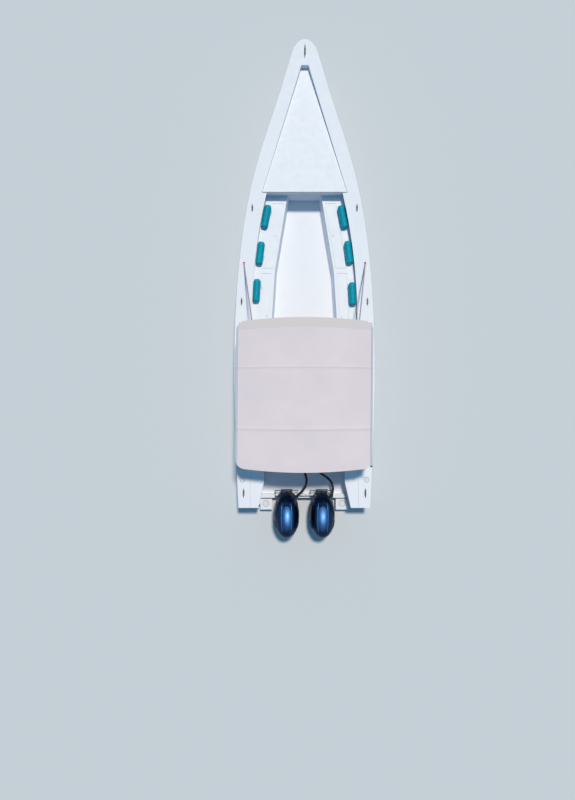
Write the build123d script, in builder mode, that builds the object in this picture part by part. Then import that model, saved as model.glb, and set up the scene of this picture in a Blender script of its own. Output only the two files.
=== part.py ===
"""Open passenger speedboat with two outboard motors and a fixed awning, in millimetres.

+Y is the bow, +X is starboard, +Z is up. The origin is where the waterline, the centreline
and the aft face of the transom meet.
"""

from build123d import *
import math
import os

os.makedirs("parts", exist_ok=True)

# Small clearances that every fit uses.
SEAT_GAP = 0.3
PANEL_GAP = 3.0
PIN_GAP = 0.08

# Hull form, one row per station:
# distance forward of the transom, half beam at the sheer, half beam at the chine, chine height, keel height
STATIONS = [
    (-267, 1415, 1172, -25, -420),
    (845, 1466, 1207, -25, -423),
    (1958, 1505, 1236, -24, -425),
    (3070, 1515, 1243, -18, -426),
    (4182, 1478, 1210, -8, -425),
    (5295, 1386, 1118, 18, -415),
    (6407, 1215, 945, 80, -383),
    (7519, 925, 665, 192, -295),
    (8632, 545, 325, 435, -45),
    (9744, 150, 62, 1270, 1200),
]
CHINE_FLAT = 35
ABOVE_SHEER = 150
FORM_HALF_WIDTH = 1.2 * max(row[1] for row in STATIONS)
NOSE_RADIUS = 222
NOSE_TANGENT_Y = 9605
BOW_Y = STATIONS[-1][0]
# A reach beyond any part of the boat, for cuts.
FAR = 3000
STERN_Y = STATIONS[0][0]

# The sheer is one long arc in side view, through these points (distance forward, height).
SHEER_POINTS = [(-155, 900), (4600, 955), (9744, 1420)]
DECK_THICKNESS = 35
RAIL_HEIGHT = 55
RAIL_PROUD = 20

# Cockpit opening, as half widths along the boat.
COCKPIT_FRONT_Y = 6620
COCKPIT_AFT_Y = 890
COCKPIT_FRONT_HALF = 828
COCKPIT_AFT_HALF = 1190
COCKPIT_SHOULDER = (COCKPIT_AFT_HALF - 34, 4100)
COCKPIT_BOW_ARC = [
    (COCKPIT_FRONT_HALF, COCKPIT_FRONT_Y),
    (COCKPIT_SHOULDER[0] - 99, 5400),
    COCKPIT_SHOULDER,
]
COCKPIT_MID_ARC = [COCKPIT_SHOULDER, (COCKPIT_AFT_HALF - 8.16, 3250), (COCKPIT_AFT_HALF, 2400)]
COAMING_LIP = 20
SOLE_TOP = 250
SOLE_THICKNESS = 30

# Foredeck panel, sunk between the side decks.
FOREDECK_FRONT_Y = 9226
FOREDECK_FRONT_HALF = 77
FOREDECK_AFT_HALF = 911
FOREDECK_FRONT_TOP = 1175
FOREDECK_AFT_TOP = 1062
FOREDECK_THICKNESS = 30

# Stern: transom, splash well, quarters and steps.
TRANSOM_TOP = 350
TRANSOM_THICKNESS = 90
WELL_FLOOR = 200
WELL_FRONT_Y = 850
WELL_SHOULDER = 315
WELL_HALF = COCKPIT_AFT_HALF - WELL_SHOULDER
WELL_FLARE_Y = 400
WELL_STERN_HALF = WELL_HALF + 126
BULKHEAD_TOP = 770
WING_AFT_Y = -155
NOTCH_HALF = 710
# Mouldings that make up the hull, each between two cross planes: name, aft end, front end.
HULL_MOULDINGS = [
    ("stern_pods", STERN_Y, 0),
    ("transom", 0, COCKPIT_AFT_Y),
    ("hull", COCKPIT_AFT_Y, COCKPIT_FRONT_Y),
]
STEP_OUTER_HALF = 970
STEP_TOP = 300
STEP_PLATE_RADIUS = 65
STEP_PLATE_CENTRE = (850, -130)

# Benches and their lids.
BENCH_TOP = 730
BENCH_AFT_Y = 1230
BENCH_DEPTH = 485
WALKWAY_AFT_HALF = COCKPIT_AFT_HALF - BENCH_DEPTH
WALKWAY = [
    (COCKPIT_FRONT_HALF - 460, COCKPIT_FRONT_Y),
    (WALKWAY_AFT_HALF - 65, 4990),
    (WALKWAY_AFT_HALF - 3, 4050),
    (WALKWAY_AFT_HALF, BENCH_AFT_Y),
]
RISER_LEAN = 39
LID_THICKNESS = 20
LID_TO_COAMING = 185
LID_HINGE_INSET = 1.5
LID_END_GAP = 6
LOCKER_LEDGE = 25
LOCKER_FLOOR = 20
# Lids: name, front edge, aft edge, margin to the walkway edge.
LIDS = [("fwd", 6450, 5050, 55), ("aft", 4930, 3050, 85)]
HINGE_RADIUS = 6
HINGE_PIN_RADIUS = 3
HINGE_LENGTH = 90
HINGE_LEAF = 26
HINGE_LEAF_THICKNESS = 2

# Backrest bolsters stand on the benches.
BACKREST_LENGTH = 500
BACKREST_DEPTH = 150
BACKREST_HEIGHT = 215
BACKREST_SOFTNESS = 25
# Bolster places: side, distances forward.
BACKREST_ROWS = [
    (1, [6140, 5370, 4475, 3650, 2850, 2050]),
    (-1, [6150, 5355, 4545, 3650, 2850, 2050]),
]

# Awning and its tube frame.
AWNING_FRONT_Y = 3840
AWNING_REAR_Y = 714
AWNING_BULGE = 90
AWNING_CORNER = 180
AWNING_THICKNESS = 6
BOW_END_HALF = 1325
AWNING_OVERHANG = 52
AWNING_HALF = BOW_END_HALF + AWNING_OVERHANG
BOW_END_HEIGHT = 2092
BOW_RISE = 98
BOW_CROWN = BOW_END_HEIGHT + BOW_RISE
LEG_RADIUS = 16
BOW_RADIUS = 16
BRACE_RADIUS = 12.5
FOOT_RADIUS = 42
FOOT_THICKNESS = 6
BOW_YS = [3700, 2834, 1604, 860]
LEG_YS = [3560, 2200, 900]
LEG_FOOT_HALF = 1385
BRACE_FOOT = (1304, 5120)
BRACE_HEAD_HALF = BOW_END_HALF - 250

# Helm, all of it under the awning.
CONSOLE_HALF = 330
CONSOLE_AFT_Y = 1900
CONSOLE_DEPTH = 480
CONSOLE_HEIGHT = 880
CONSOLE_DASH_Y = 2120
CONSOLE_DASH_LOW = 620
SCREEN_HEIGHT = 260
SCREEN_THICKNESS = 6
WHEEL_RADIUS = 170
WHEEL_RIM_RADIUS = 13
WHEEL_HUB_RADIUS = 32
WHEEL_STANDOFF = 90
WHEEL_SHAFT_RADIUS = 11
WHEEL_X = -110
LEVER_X = 170
SEAT_Y = 1180
SEAT_HALF = 310
SEAT_DEPTH = 330
SEAT_BASE_HEIGHT = 480
SEAT_CUSHION = 90

# Deck fittings: distance off the centreline, distance forward, length.
CLEATS = [
    (0, 9510, 250),
    (1120, 6285, 150),
    (1355, 4297, 150),
    (1315, 167, 190),
]
CLEAT_HORN_Z = 38
FILLER_PLACES = [(1343, 453)]
FILLER_RADIUS = 50
FILLER_HEIGHT = 5
BOW_EYE_Z = 880
BOW_EYE_HOLE = 14
BOW_EYE_THICKNESS = 12
BOW_EYE_REACH = 70

# Motors. Y and Z are measured from the boat's origin, X from the motor's own middle.
MOTOR_X = 387
TILT_Y = 40
TILT_Z = 420
STEER_Y = -120
PLATE_INNER = 100
PLATE_THICKNESS = 22
EAR_RADIUS = 34
THRUST_ROD = (-55, -32, 10)
TILT_SHAFT_RADIUS = 16
BARREL_RADIUS = 33
BARREL_GAP = 3
STEER_TUBE_RADIUS = 42
KING_PIN_RADIUS = 24
STEER_TUBE_LOW = 20
STEER_TUBE_HIGH = 440
ARM_LOW = 472
ARM_THICKNESS = 18
ARM_REACH = 200
ARM_HALF = 26
YOKE_LOW = -6
YOKE_THICKNESS = 20
LINK_PIN_RADIUS = 8
LINK_PIN_TOP = 545
RAM_Y = 175
RAM_Z = 480
RAM_ROD_RADIUS = 10
RAM_RADIUS = 30
RAM_HALF = 130
RAM_TRAVEL = 105
RAM_ARM_THICKNESS = 12
FORK_LOW = 496
FORK_THICKNESS = 12
FORK_SLOT_HALF = 15
FORK_HALF = 28
TIE_BAR_Z = 525
TIE_BAR_RADIUS = 11
TIE_EYE_RADIUS = 20
TIE_EYE_HEIGHT = 16
TIE_OPEN_EYE_GAP = 6

# Leg sections: height, front, aft, half width.
LEG_SECTIONS = [
    (560, -176, -500, 118),
    (300, -186, -462, 84),
    (0, -192, -440, 62),
    (-300, -206, -432, 40),
    (-500, -240, -450, 30),
]
PROP_Z = -500
PROP_RADIUS = 185
TORPEDO_RADIUS = 62
TORPEDO_NOSE_Y = -225
TORPEDO_AFT_Y = -690
TORPEDO_AFT_RADIUS = 56
PROP_SHAFT_RADIUS = 12
PROP_SHAFT_LENGTH = 150
PROP_GAP = 5
PROP_HUB_LENGTH = 128
PROP_HUB_RADIUS = 54
PROP_HUB_AFT_RADIUS = 46
PROP_BLADES = 3
PROP_PITCH = 430
# Blade sections: radius, chord, thickness.
BLADE_SECTIONS = [(44, 96, 13), (95, 142, 8), (145, 138, 5.5), (183, 62, 3.5)]
VENT_PLATE_Z = -292
VENT_PLATE_THICKNESS = 9
SKEG_THICKNESS = 12
SKEG_LOW = -755

PAN_LOW = 560
SEAM_Z = 640
COWL_TOP = 1165
COWL_WALL = 9
# Cowl sections: height above the seam as a share of the cowl, how far the sides, front and aft end move in.
COWL_SECTIONS = [
    (0, 0, 0, 0),
    (0.3, -4, 2, -6),
    (0.56, 7, 20, 2),
    (0.76, 32, 62, 24),
    (0.89, 68, 118, 60),
    (0.965, 112, 178, 108),
    (1.0, 160, 240, 165),
]
COWL_FRONT_Y = 150
COWL_AFT_Y = -800
COWL_HALF = 268
COWL_WIDEST_Y = -330
COWL_POINTS = 20
COWL_BLUNTNESS = 0.93
POWERHEAD = (300, 470, 400)
POWERHEAD_Y = -300

# Control hoses from the motors to the bulkhead, as centre points.
HOSE_RADIUS = 23
HOSE_PORT = [
    (-197, 45, 600),
    (-128, 97, 600),
    (-62, 158, 592),
    (-3, 226, 578),
    (39, 306, 560),
    (56, 394, 540),
    (45, 483, 520),
    (18, 567, 500),
    (-3, 657, 488),
    (-11, 752, 482),
    (-11, 849.7, 482),
]
HOSE_STBD = [
    (577, 45, 600),
    (618, 135, 600),
    (634, 234, 592),
    (615, 332, 576),
    (563, 417, 558),
    (487, 481, 540),
    (401, 532, 522),
    (338, 589, 506),
    (294, 662, 492),
    (272, 749, 482),
    (272, 849.7, 482),
]
GROMMET_RADIUS = 38
GROMMET_THICKNESS = 10


def circle_through(p, q, r):
    """Centre and radius of the circle through three points."""
    ax, ay, bx, by, cx, cy = *p, *q, *r
    d = 2 * (ax * (by - cy) + bx * (cy - ay) + cx * (ay - by))
    a2, b2, c2 = ax * ax + ay * ay, bx * bx + by * by, cx * cx + cy * cy
    ux = (a2 * (by - cy) + b2 * (cy - ay) + c2 * (ay - by)) / d
    uy = (a2 * (cx - bx) + b2 * (ax - cx) + c2 * (bx - ax)) / d
    return ux, uy, math.hypot(ax - ux, ay - uy)


SHEER_CENTRE_Y, SHEER_CENTRE_Z, SHEER_RADIUS = circle_through(*SHEER_POINTS)


def sheer_height(y):
    """Height of the deck edge at a distance y forward of the transom."""
    return SHEER_CENTRE_Z - math.sqrt(SHEER_RADIUS**2 - (y - SHEER_CENTRE_Y) ** 2)


def coaming_half(y):
    """Half width of the cockpit opening at a distance y forward of the transom."""
    if y < COCKPIT_MID_ARC[2][1]:
        return COCKPIT_AFT_HALF
    arc = COCKPIT_BOW_ARC if y > COCKPIT_BOW_ARC[2][1] else COCKPIT_MID_ARC
    cx, cy, radius = circle_through(*arc)
    return cx + math.sqrt(radius**2 - (y - cy) ** 2)


def walkway_half(y):
    """Half width of the walkway between the benches, at bench height."""
    for (x0, y0), (x1, y1) in zip(WALKWAY, WALKWAY[1:]):
        if y1 <= y <= y0:
            return x0 + (x1 - x0) * (y0 - y) / (y0 - y1)
    return WALKWAY[0][0]


def save(part, name):
    """Labels a finished piece and writes it."""
    part.label = name
    export_step(part, f"parts/{name}.step")


def station_plane(y):
    """A plane across the boat, with X to starboard and Y up."""
    return Plane.XZ.offset(-y)


def hull_form(grow):
    """The moulded form from keel to above the sheer, with its half beams grown by some amount."""
    with BuildPart() as form:
        for y, sheer_half, chine_half, chine_z, keel_z in STATIONS:
            top_z = sheer_height(y) + ABOVE_SHEER
            flat = min(CHINE_FLAT, chine_half / 4)
            lean = (sheer_half - chine_half - flat) / (sheer_height(y) - chine_z)
            top_half = sheer_half + lean * ABOVE_SHEER
            side = [
                (chine_half + grow, chine_z),
                (chine_half + flat + grow, chine_z),
                (top_half + grow, top_z),
            ]
            with BuildSketch(station_plane(y)):
                with BuildLine():
                    Polyline(
                        (0, keel_z),
                        *side,
                        *[(-x, z) for x, z in reversed(side)],
                        close=True,
                    )
                make_face()
        loft()
        # Round the stem head in plan.
        with BuildSketch(Plane.XY.offset(-600)):
            with BuildLine():
                Polyline(
                    (-FORM_HALF_WIDTH, STERN_Y - 50),
                    (FORM_HALF_WIDTH, STERN_Y - 50),
                    (FORM_HALF_WIDTH, NOSE_TANGENT_Y),
                    (-FORM_HALF_WIDTH, NOSE_TANGENT_Y),
                    close=True,
                )
            make_face()
            with Locations((0, BOW_Y - NOSE_RADIUS)):
                Circle(NOSE_RADIUS + grow)
        extrude(amount=2400, mode=Mode.INTERSECT)
    return form.part


def sheer_band(low, high):
    """A slab over the whole boat between two copies of the sheer arc, shifted down and up."""
    y0, y1 = STERN_Y - 100, BOW_Y + 100
    ym = (y0 + y1) / 2
    with BuildPart() as band:
        with BuildSketch(Plane.YZ):
            with BuildLine():
                ThreePointArc(*[(y, sheer_height(y) + low) for y in (y0, ym, y1)])
                Line((y1, sheer_height(y1) + low), (y1, sheer_height(y1) + high))
                ThreePointArc(*[(y, sheer_height(y) + high) for y in (y1, ym, y0)])
                Line((y0, sheer_height(y0) + high), (y0, sheer_height(y0) + low))
            make_face()
        extrude(amount=FORM_HALF_WIDTH, both=True)
    return band.part


def mirrored_face(half_points):
    """Closes a half outline, given from the centreline round to the centreline, on both sides."""
    Polygon(
        *half_points,
        *[(-x, y) for x, y in reversed(half_points) if x > 0],
        align=None,
    )


def cockpit_outline(inset):
    """Plan of the cockpit opening, moved inward by some amount."""
    front, aft = COCKPIT_FRONT_Y, COCKPIT_AFT_Y
    with BuildSketch() as outline:
        with BuildLine():
            Line((0, aft), (COCKPIT_AFT_HALF, aft))
            Line((COCKPIT_AFT_HALF, aft), COCKPIT_MID_ARC[2])
            ThreePointArc(*reversed(COCKPIT_MID_ARC))
            ThreePointArc(*reversed(COCKPIT_BOW_ARC))
            Line((COCKPIT_FRONT_HALF, front), (0, front))
            mirror(about=Plane.YZ)
        make_face()
        if inset:
            offset(amount=-inset, kind=Kind.INTERSECTION)
    return outline.sketch


def well_outline(from_y, to_y):
    """Plan of the stern between the quarters, from one distance to another."""
    flare = (WELL_STERN_HALF - WELL_HALF) / (WELL_FLARE_Y - WING_AFT_Y)

    def half(y):
        return WELL_HALF + flare * max(0, WELL_FLARE_Y - y)

    ys = sorted({from_y, to_y} | ({WELL_FLARE_Y} if from_y < WELL_FLARE_Y < to_y else set()))
    return [(0, from_y), *[(half(y), y) for y in ys], (0, to_y)]


def block(low, high):
    """A plain box between any two opposite corners, made apart from any builder."""
    size = [abs(h - l) for l, h in zip(low, high)]
    centre = [(l + h) / 2 for l, h in zip(low, high)]
    return Pos(*centre) * Box(*size, mode=Mode.PRIVATE)


def build_hull(form):
    """The outer moulding, solid below the sole and inside the side walls."""
    deep = FAR
    with BuildPart() as hull:
        add(form)
        add(sheer_band(-deep, -DECK_THICKNESS), mode=Mode.INTERSECT)
        # Cockpit.
        with BuildSketch(Plane.XY.offset(SOLE_TOP - SOLE_THICKNESS)):
            add(cockpit_outline(0))
        extrude(amount=deep, mode=Mode.SUBTRACT)
        # Splash well, the lowered transom and the steps.
        for from_y, to_y, floor in [
            (TRANSOM_THICKNESS, WELL_FRONT_Y, WELL_FLOOR),
            (0, TRANSOM_THICKNESS, TRANSOM_TOP),
            (STERN_Y - 50, 0, STEP_TOP),
        ]:
            with BuildSketch(Plane.XY.offset(floor)):
                mirrored_face(well_outline(from_y, to_y))
            extrude(amount=deep, mode=Mode.SUBTRACT)
        # Top of the bulkhead between the well and the cockpit.
        with BuildSketch(Plane.XY.offset(BULKHEAD_TOP)):
            mirrored_face(well_outline(WELL_FRONT_Y, COCKPIT_AFT_Y))
        extrude(amount=deep, mode=Mode.SUBTRACT)
        # Motor notch, and the wings end short of the steps.
        add(block((-NOTCH_HALF, STERN_Y - 50, -deep), (NOTCH_HALF, 0, deep)), mode=Mode.SUBTRACT)
        for side in (-1, 1):
            xs = sorted((side * STEP_OUTER_HALF, side * FORM_HALF_WIDTH))
            add(block((xs[0], STERN_Y - 50, -deep), (xs[1], WING_AFT_Y, deep)), mode=Mode.SUBTRACT)
        # Bed of the foredeck panel.
        add(foredeck_slab(0, 600, 0), mode=Mode.SUBTRACT)
    return hull.part


def hull_moulding(whole, aft, front):
    """The stretch of the hull between two cross planes."""
    reach = FORM_HALF_WIDTH
    with BuildPart() as moulding:
        add(whole)
        add(block((-reach, aft, -reach), (reach, front, reach)), mode=Mode.INTERSECT)
    return moulding.part


def split_bow(whole):
    """The hull forward of the cockpit: the body below the foredeck's bed, and the frame above it."""
    bow = hull_moulding(whole, COCKPIT_FRONT_Y, BOW_Y)
    y0, y1 = COCKPIT_FRONT_Y, FOREDECK_FRONT_Y
    z0, z1 = FOREDECK_AFT_TOP - FOREDECK_THICKNESS, FOREDECK_FRONT_TOP - FOREDECK_THICKNESS
    slope = (z1 - z0) / (y1 - y0)
    with BuildPart() as above:
        with BuildSketch(Plane.YZ):
            bed = [(y0 - 10, z0 - 10 * slope), (BOW_Y, z0 + slope * (BOW_Y - y0))]
            Polygon(*bed, (BOW_Y, FAR), (y0 - 10, FAR), align=None)
        extrude(amount=FORM_HALF_WIDTH, both=True)
    with BuildPart() as surround:
        add(bow)
        add(above.part, mode=Mode.INTERSECT)
    return cut(bow, [above.part]), surround.part


def foredeck_slab(low, high, inset):
    """The foredeck's plan between two planes that run parallel to its top, low and high from its underside."""
    y0, y1 = COCKPIT_FRONT_Y, FOREDECK_FRONT_Y
    z0, z1 = FOREDECK_AFT_TOP - FOREDECK_THICKNESS, FOREDECK_FRONT_TOP - FOREDECK_THICKNESS
    with BuildPart() as slab:
        with BuildSketch(Plane.YZ):
            Polygon(
                (y0, z0 + low), (y1, z1 + low), (y1, z1 + high), (y0, z0 + high), align=None
            )
        extrude(amount=FORM_HALF_WIDTH, both=True)
        with BuildSketch():
            Polygon(
                (FOREDECK_AFT_HALF, y0),
                (FOREDECK_FRONT_HALF, y1),
                (-FOREDECK_FRONT_HALF, y1),
                (-FOREDECK_AFT_HALF, y0),
                align=None,
            )
            if inset:
                offset(amount=-inset, kind=Kind.INTERSECTION)
        extrude(amount=FAR, mode=Mode.INTERSECT)
    return slab.part


def build_deck(form):
    """Side decks that meet round the bow: one moulding on top of the hull."""
    with BuildPart() as deck:
        add(form)
        add(sheer_band(-DECK_THICKNESS, 0), mode=Mode.INTERSECT)
        with BuildSketch():
            add(cockpit_outline(COAMING_LIP))
        extrude(amount=FAR, mode=Mode.SUBTRACT)
        lip_half = COCKPIT_AFT_HALF - COAMING_LIP
        add(
            block((-lip_half, STERN_Y - 50, 0), (lip_half, COCKPIT_AFT_Y + 100, FAR)),
            mode=Mode.SUBTRACT,
        )
        add(foredeck_slab(-300, 900, 0), mode=Mode.SUBTRACT)
        add(
            block((-FORM_HALF_WIDTH, STERN_Y - 50, 0), (FORM_HALF_WIDTH, WING_AFT_Y, FAR)),
            mode=Mode.SUBTRACT,
        )
    return deck.part


def build_quarters(form):
    """Flat tops of the two stern quarters, inboard of the side decks."""
    inner = COCKPIT_AFT_HALF - COAMING_LIP - PANEL_GAP
    with BuildPart() as quarters:
        add(form)
        add(sheer_band(-DECK_THICKNESS, 0), mode=Mode.INTERSECT)
        add(block((-inner, WING_AFT_Y, 0), (inner, COCKPIT_AFT_Y, FAR)), mode=Mode.INTERSECT)
        with BuildSketch():
            mirrored_face(well_outline(WING_AFT_Y - 10, COCKPIT_AFT_Y + 10))
        extrude(amount=FAR, mode=Mode.SUBTRACT)
    return quarters.part


def build_rail(form):
    """Rubbing strake: a band along each side just under the deck edge."""
    wide = hull_form(RAIL_PROUD)
    with BuildPart() as rail:
        add(wide)
        add(sheer_band(-DECK_THICKNESS - RAIL_HEIGHT, -DECK_THICKNESS), mode=Mode.INTERSECT)
        add(form, mode=Mode.SUBTRACT)
        add(
            block((-FORM_HALF_WIDTH, STERN_Y - 50, 0), (FORM_HALF_WIDTH, WING_AFT_Y, FAR)),
            mode=Mode.SUBTRACT,
        )
    return rail.part


def deck_place(x, y):
    """Location on the deck, turned to lie along the sheer."""
    slope = math.degrees(math.asin((y - SHEER_CENTRE_Y) / SHEER_RADIUS))
    return Pos(x, y, sheer_height(y)) * Rot(X=slope)


def rod(start, end, radius):
    """A round bar between two points."""
    start, end = Vector(*start), Vector(*end)
    return Solid.make_cylinder(radius, (end - start).length, Plane(start, z_dir=end - start))


def fuse(parts):
    """Joins pieces made apart into one."""
    with BuildPart() as joined:
        for part in parts:
            add(part)
    return joined.part


def cut(part, tools):
    """Takes pieces away from a part."""
    with BuildPart() as rest:
        add(part)
        for tool in tools:
            add(tool, mode=Mode.SUBTRACT)
    return rest.part


def both_sides(part):
    """The part and its mirror image about the centreline."""
    return [part, mirror(part, about=Plane.YZ, mode=Mode.PRIVATE)]


def build_sole():
    """Cockpit floor panel."""
    with BuildPart() as sole:
        with BuildSketch(Plane.XY.offset(SOLE_TOP - SOLE_THICKNESS)):
            add(cockpit_outline(PANEL_GAP))
        extrude(amount=SOLE_THICKNESS)
    return sole.part


def bench_face(height, lean):
    """Plan of the starboard bench at one height."""
    front = COCKPIT_FRONT_Y - PANEL_GAP
    with BuildSketch(Plane.XY.offset(height)) as face:
        with BuildLine():
            inner = [(x - lean, y) for x, y in WALKWAY[1:]]
            Polyline((walkway_half(front) - lean, front), *inner)
            Line(inner[-1], (COCKPIT_AFT_HALF - PANEL_GAP, BENCH_AFT_Y))
            mid = [(x - PANEL_GAP, y) for x, y in reversed(COCKPIT_MID_ARC)]
            Line((COCKPIT_AFT_HALF - PANEL_GAP, BENCH_AFT_Y), mid[0])
            ThreePointArc(*mid)
            ys = (COCKPIT_SHOULDER[1], COCKPIT_BOW_ARC[1][1], front)
            arc = [(coaming_half(y) - PANEL_GAP, y) for y in ys]
            ThreePointArc(*arc)
            Line(arc[-1], (walkway_half(front) - lean, front))
        make_face()
    return face.sketch


def lid_corners(front, aft, margin, hinge_grow, inner_grow, end_grow):
    """Plan corners of a starboard lid, moved out by some amounts: hinge side first."""
    hinge = [(coaming_half(y) - LID_TO_COAMING, y) for y in (front, aft)]
    inner = [(walkway_half(y) + margin, y) for y in (aft, front)]
    (x0, y0), (x1, y1), (x2, y2), (x3, y3) = *hinge, *inner
    return [
        (x0 + hinge_grow, y0 + end_grow),
        (x1 + hinge_grow, y1 - end_grow),
        (x2 - inner_grow, y2 - end_grow),
        (x3 - inner_grow, y3 + end_grow),
    ]


def lid_slab(corners, low, high):
    """A flat plate over the corners, between two heights."""
    with BuildPart() as slab:
        with BuildSketch(Plane.XY.offset(low)):
            Polygon(*corners, align=None)
        extrude(amount=high - low)
    return slab.part


def hinge_place(front, aft, share):
    """Place along a lid's hinge line, X outboard, Y forward along the pin."""
    (x0, y0), (x1, y1) = [(coaming_half(y) - LID_TO_COAMING, y) for y in (front, aft)]
    turn = math.degrees(math.atan2(x0 - x1, y0 - y1))
    x, y = x0 + (x1 - x0) * share, y0 + (y1 - y0) * share
    return Pos(x, y, BENCH_TOP + HINGE_RADIUS) * Rot(Z=-turn)


def hinge_half(fixed):
    """One half of a butt hinge, about a pin along Y."""
    third = HINGE_LENGTH / 3
    spans = [(-HINGE_LENGTH / 2, -third / 2), (third / 2, HINGE_LENGTH / 2)]
    if not fixed:
        spans = [(-third / 2 + SEAT_GAP, third / 2 - SEAT_GAP)]
    reach = (SEAT_GAP + HINGE_RADIUS, HINGE_LEAF) if fixed else (-HINGE_LEAF, -HINGE_RADIUS - SEAT_GAP)
    low = -HINGE_RADIUS
    high = low + HINGE_LEAF_THICKNESS
    pieces = [block((reach[0], -HINGE_LENGTH / 2, low), (reach[1], HINGE_LENGTH / 2, high))]
    for y0, y1 in spans:
        pieces.append(rod((0, y0, 0), (0, y1, 0), HINGE_RADIUS))
        xs = sorted((0, reach[0] if fixed else reach[1]))
        pieces.append(block((xs[0], y0, low), (xs[1], y1, high)))
    if fixed:
        half = HINGE_LENGTH / 2
        pieces.append(rod((0, -half, 0), (0, half, 0), HINGE_PIN_RADIUS))
        return fuse(pieces)
    return cut(
        fuse(pieces),
        [rod((0, -HINGE_LENGTH, 0), (0, HINGE_LENGTH, 0), HINGE_PIN_RADIUS + PIN_GAP)],
    )


def build_bench():
    """Starboard bench with its lockers and the fixed halves of the lid hinges."""
    with BuildPart() as bench:
        add(bench_face(SOLE_TOP, RISER_LEAN))
        add(bench_face(BENCH_TOP, 0))
        loft(ruled=True)
    tools = []
    for name, front, aft, margin in LIDS:
        seat = lid_corners(front, aft, margin, PANEL_GAP, PANEL_GAP, LID_END_GAP)
        hole = lid_corners(front, aft, margin, *3 * [-LOCKER_LEDGE])
        tools.append(lid_slab(seat, BENCH_TOP - LID_THICKNESS, BENCH_TOP + 100))
        tools.append(lid_slab(hole, SOLE_TOP + LOCKER_FLOOR, BENCH_TOP + 100))
    return cut(bench.part, tools)


def build_hinges():
    """Fixed halves of the starboard lid hinges, on the bench top."""
    return [
        hinge_place(front, aft, share) * hinge_half(True)
        for name, front, aft, margin in LIDS
        for share in (0.15, 0.85)
    ]


def build_lid(front, aft, margin):
    """Starboard lid with its hinge halves."""
    corners = lid_corners(front, aft, margin, -LID_HINGE_INSET, 0, 0)
    panel = lid_slab(corners, BENCH_TOP - LID_THICKNESS, BENCH_TOP)
    hinges = [hinge_place(front, aft, share) * hinge_half(False) for share in (0.15, 0.85)]
    return fuse([panel, *hinges])


def build_backrest(side, y):
    """Bolster that leans on the coaming, to starboard where side is 1."""
    ahead, behind = coaming_half(y + BACKREST_LENGTH / 2), coaming_half(y - BACKREST_LENGTH / 2)
    turn = math.degrees(math.atan2(ahead - behind, BACKREST_LENGTH))
    middle = (ahead + behind) / 2 - BACKREST_DEPTH / 2 - COAMING_LIP - 7
    with BuildPart() as rest:
        Box(BACKREST_DEPTH, BACKREST_LENGTH, BACKREST_HEIGHT)
        fillet(rest.edges(), BACKREST_SOFTNESS)
    centre_z = BENCH_TOP + SEAT_GAP + BACKREST_HEIGHT / 2
    return Pos(side * middle, y, centre_z) * Rot(Z=-side * turn) * rest.part


def bow_height(x, rise):
    """Height of the awning bows off the centreline, with the arc grown by some amount."""
    radius = (BOW_END_HALF**2 + (BOW_CROWN - BOW_END_HEIGHT) ** 2) / (2 * (BOW_CROWN - BOW_END_HEIGHT))
    return BOW_CROWN - radius + math.sqrt((radius + rise) ** 2 - x**2)


def arched_tube(y, radius, reach):
    """Round tube along the arch of the bows, cut off upright at a distance off the centreline."""
    with BuildPart() as tube:
        with BuildLine():
            path = ThreePointArc(
                (-BOW_END_HALF, y, BOW_END_HEIGHT), (0, y, BOW_CROWN), (BOW_END_HALF, y, BOW_END_HEIGHT)
            )
        with BuildSketch(Plane(path @ 0, z_dir=path % 0)):
            Circle(radius)
        sweep()
        add(block((-reach, y - 100, 0), (reach, y + 100, FAR)), mode=Mode.INTERSECT)
    return tube.part


def build_bow(y):
    """Arched tube across the awning, between the side rails."""
    return arched_tube(y, BOW_RADIUS, BOW_END_HALF - BOW_RADIUS - SEAT_GAP)


def build_rail_tube():
    """Starboard side rail of the awning."""
    y0, y1 = BOW_YS[-1] - BOW_RADIUS, BOW_YS[0] + BOW_RADIUS
    return rod((BOW_END_HALF, y0, BOW_END_HEIGHT), (BOW_END_HALF, y1, BOW_END_HEIGHT), BOW_RADIUS)


def build_leg_tube(y):
    """Starboard leg with its deck foot."""
    place = deck_place(LEG_FOOT_HALF, y)
    foot = place * Pos(0, 0, SEAT_GAP) * Solid.make_cylinder(FOOT_RADIUS, FOOT_THICKNESS)
    low = (LEG_FOOT_HALF, y, sheer_height(y) + FOOT_THICKNESS / 2)
    tube = rod(low, (BOW_END_HALF, y, BOW_END_HEIGHT), LEG_RADIUS)
    rail = rod((BOW_END_HALF, y - 200, BOW_END_HEIGHT), (BOW_END_HALF, y + 200, BOW_END_HEIGHT),
               BOW_RADIUS + SEAT_GAP)
    return cut(fuse([foot, tube]), [rail])


def build_brace():
    """Starboard front brace with its deck foot."""
    x, y = BRACE_FOOT
    foot = deck_place(x, y) * Pos(0, 0, SEAT_GAP) * Solid.make_cylinder(FOOT_RADIUS, FOOT_THICKNESS)
    boss = deck_place(x, y) * Pos(0, 0, FOOT_THICKNESS) * Solid.make_cylinder(BRACE_RADIUS + 4, 24)
    head = (BRACE_HEAD_HALF, BOW_YS[0], bow_height(BRACE_HEAD_HALF, 0))
    tube = rod((x, y, sheer_height(y) + FOOT_THICKNESS + 14), head, BRACE_RADIUS)
    bow = arched_tube(BOW_YS[0], BOW_RADIUS + SEAT_GAP, BOW_END_HALF - BOW_RADIUS)
    pieces = cut(fuse([foot, boss, tube]), [bow])
    return max(pieces.solids(), key=lambda solid: solid.volume)


def awning_section(rise):
    """Everything under one of the awning's two arched surfaces, as a face across the boat."""
    edge = (AWNING_HALF + 100, bow_height(AWNING_HALF + 100, rise))
    with BuildSketch(Plane.XZ) as face:
        with BuildLine():
            ThreePointArc((-edge[0], edge[1]), (0, bow_height(0, rise)), edge)
            Polyline(edge, (edge[0], 0), (-edge[0], 0), (-edge[0], edge[1]))
        make_face()
    return face.sketch


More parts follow.
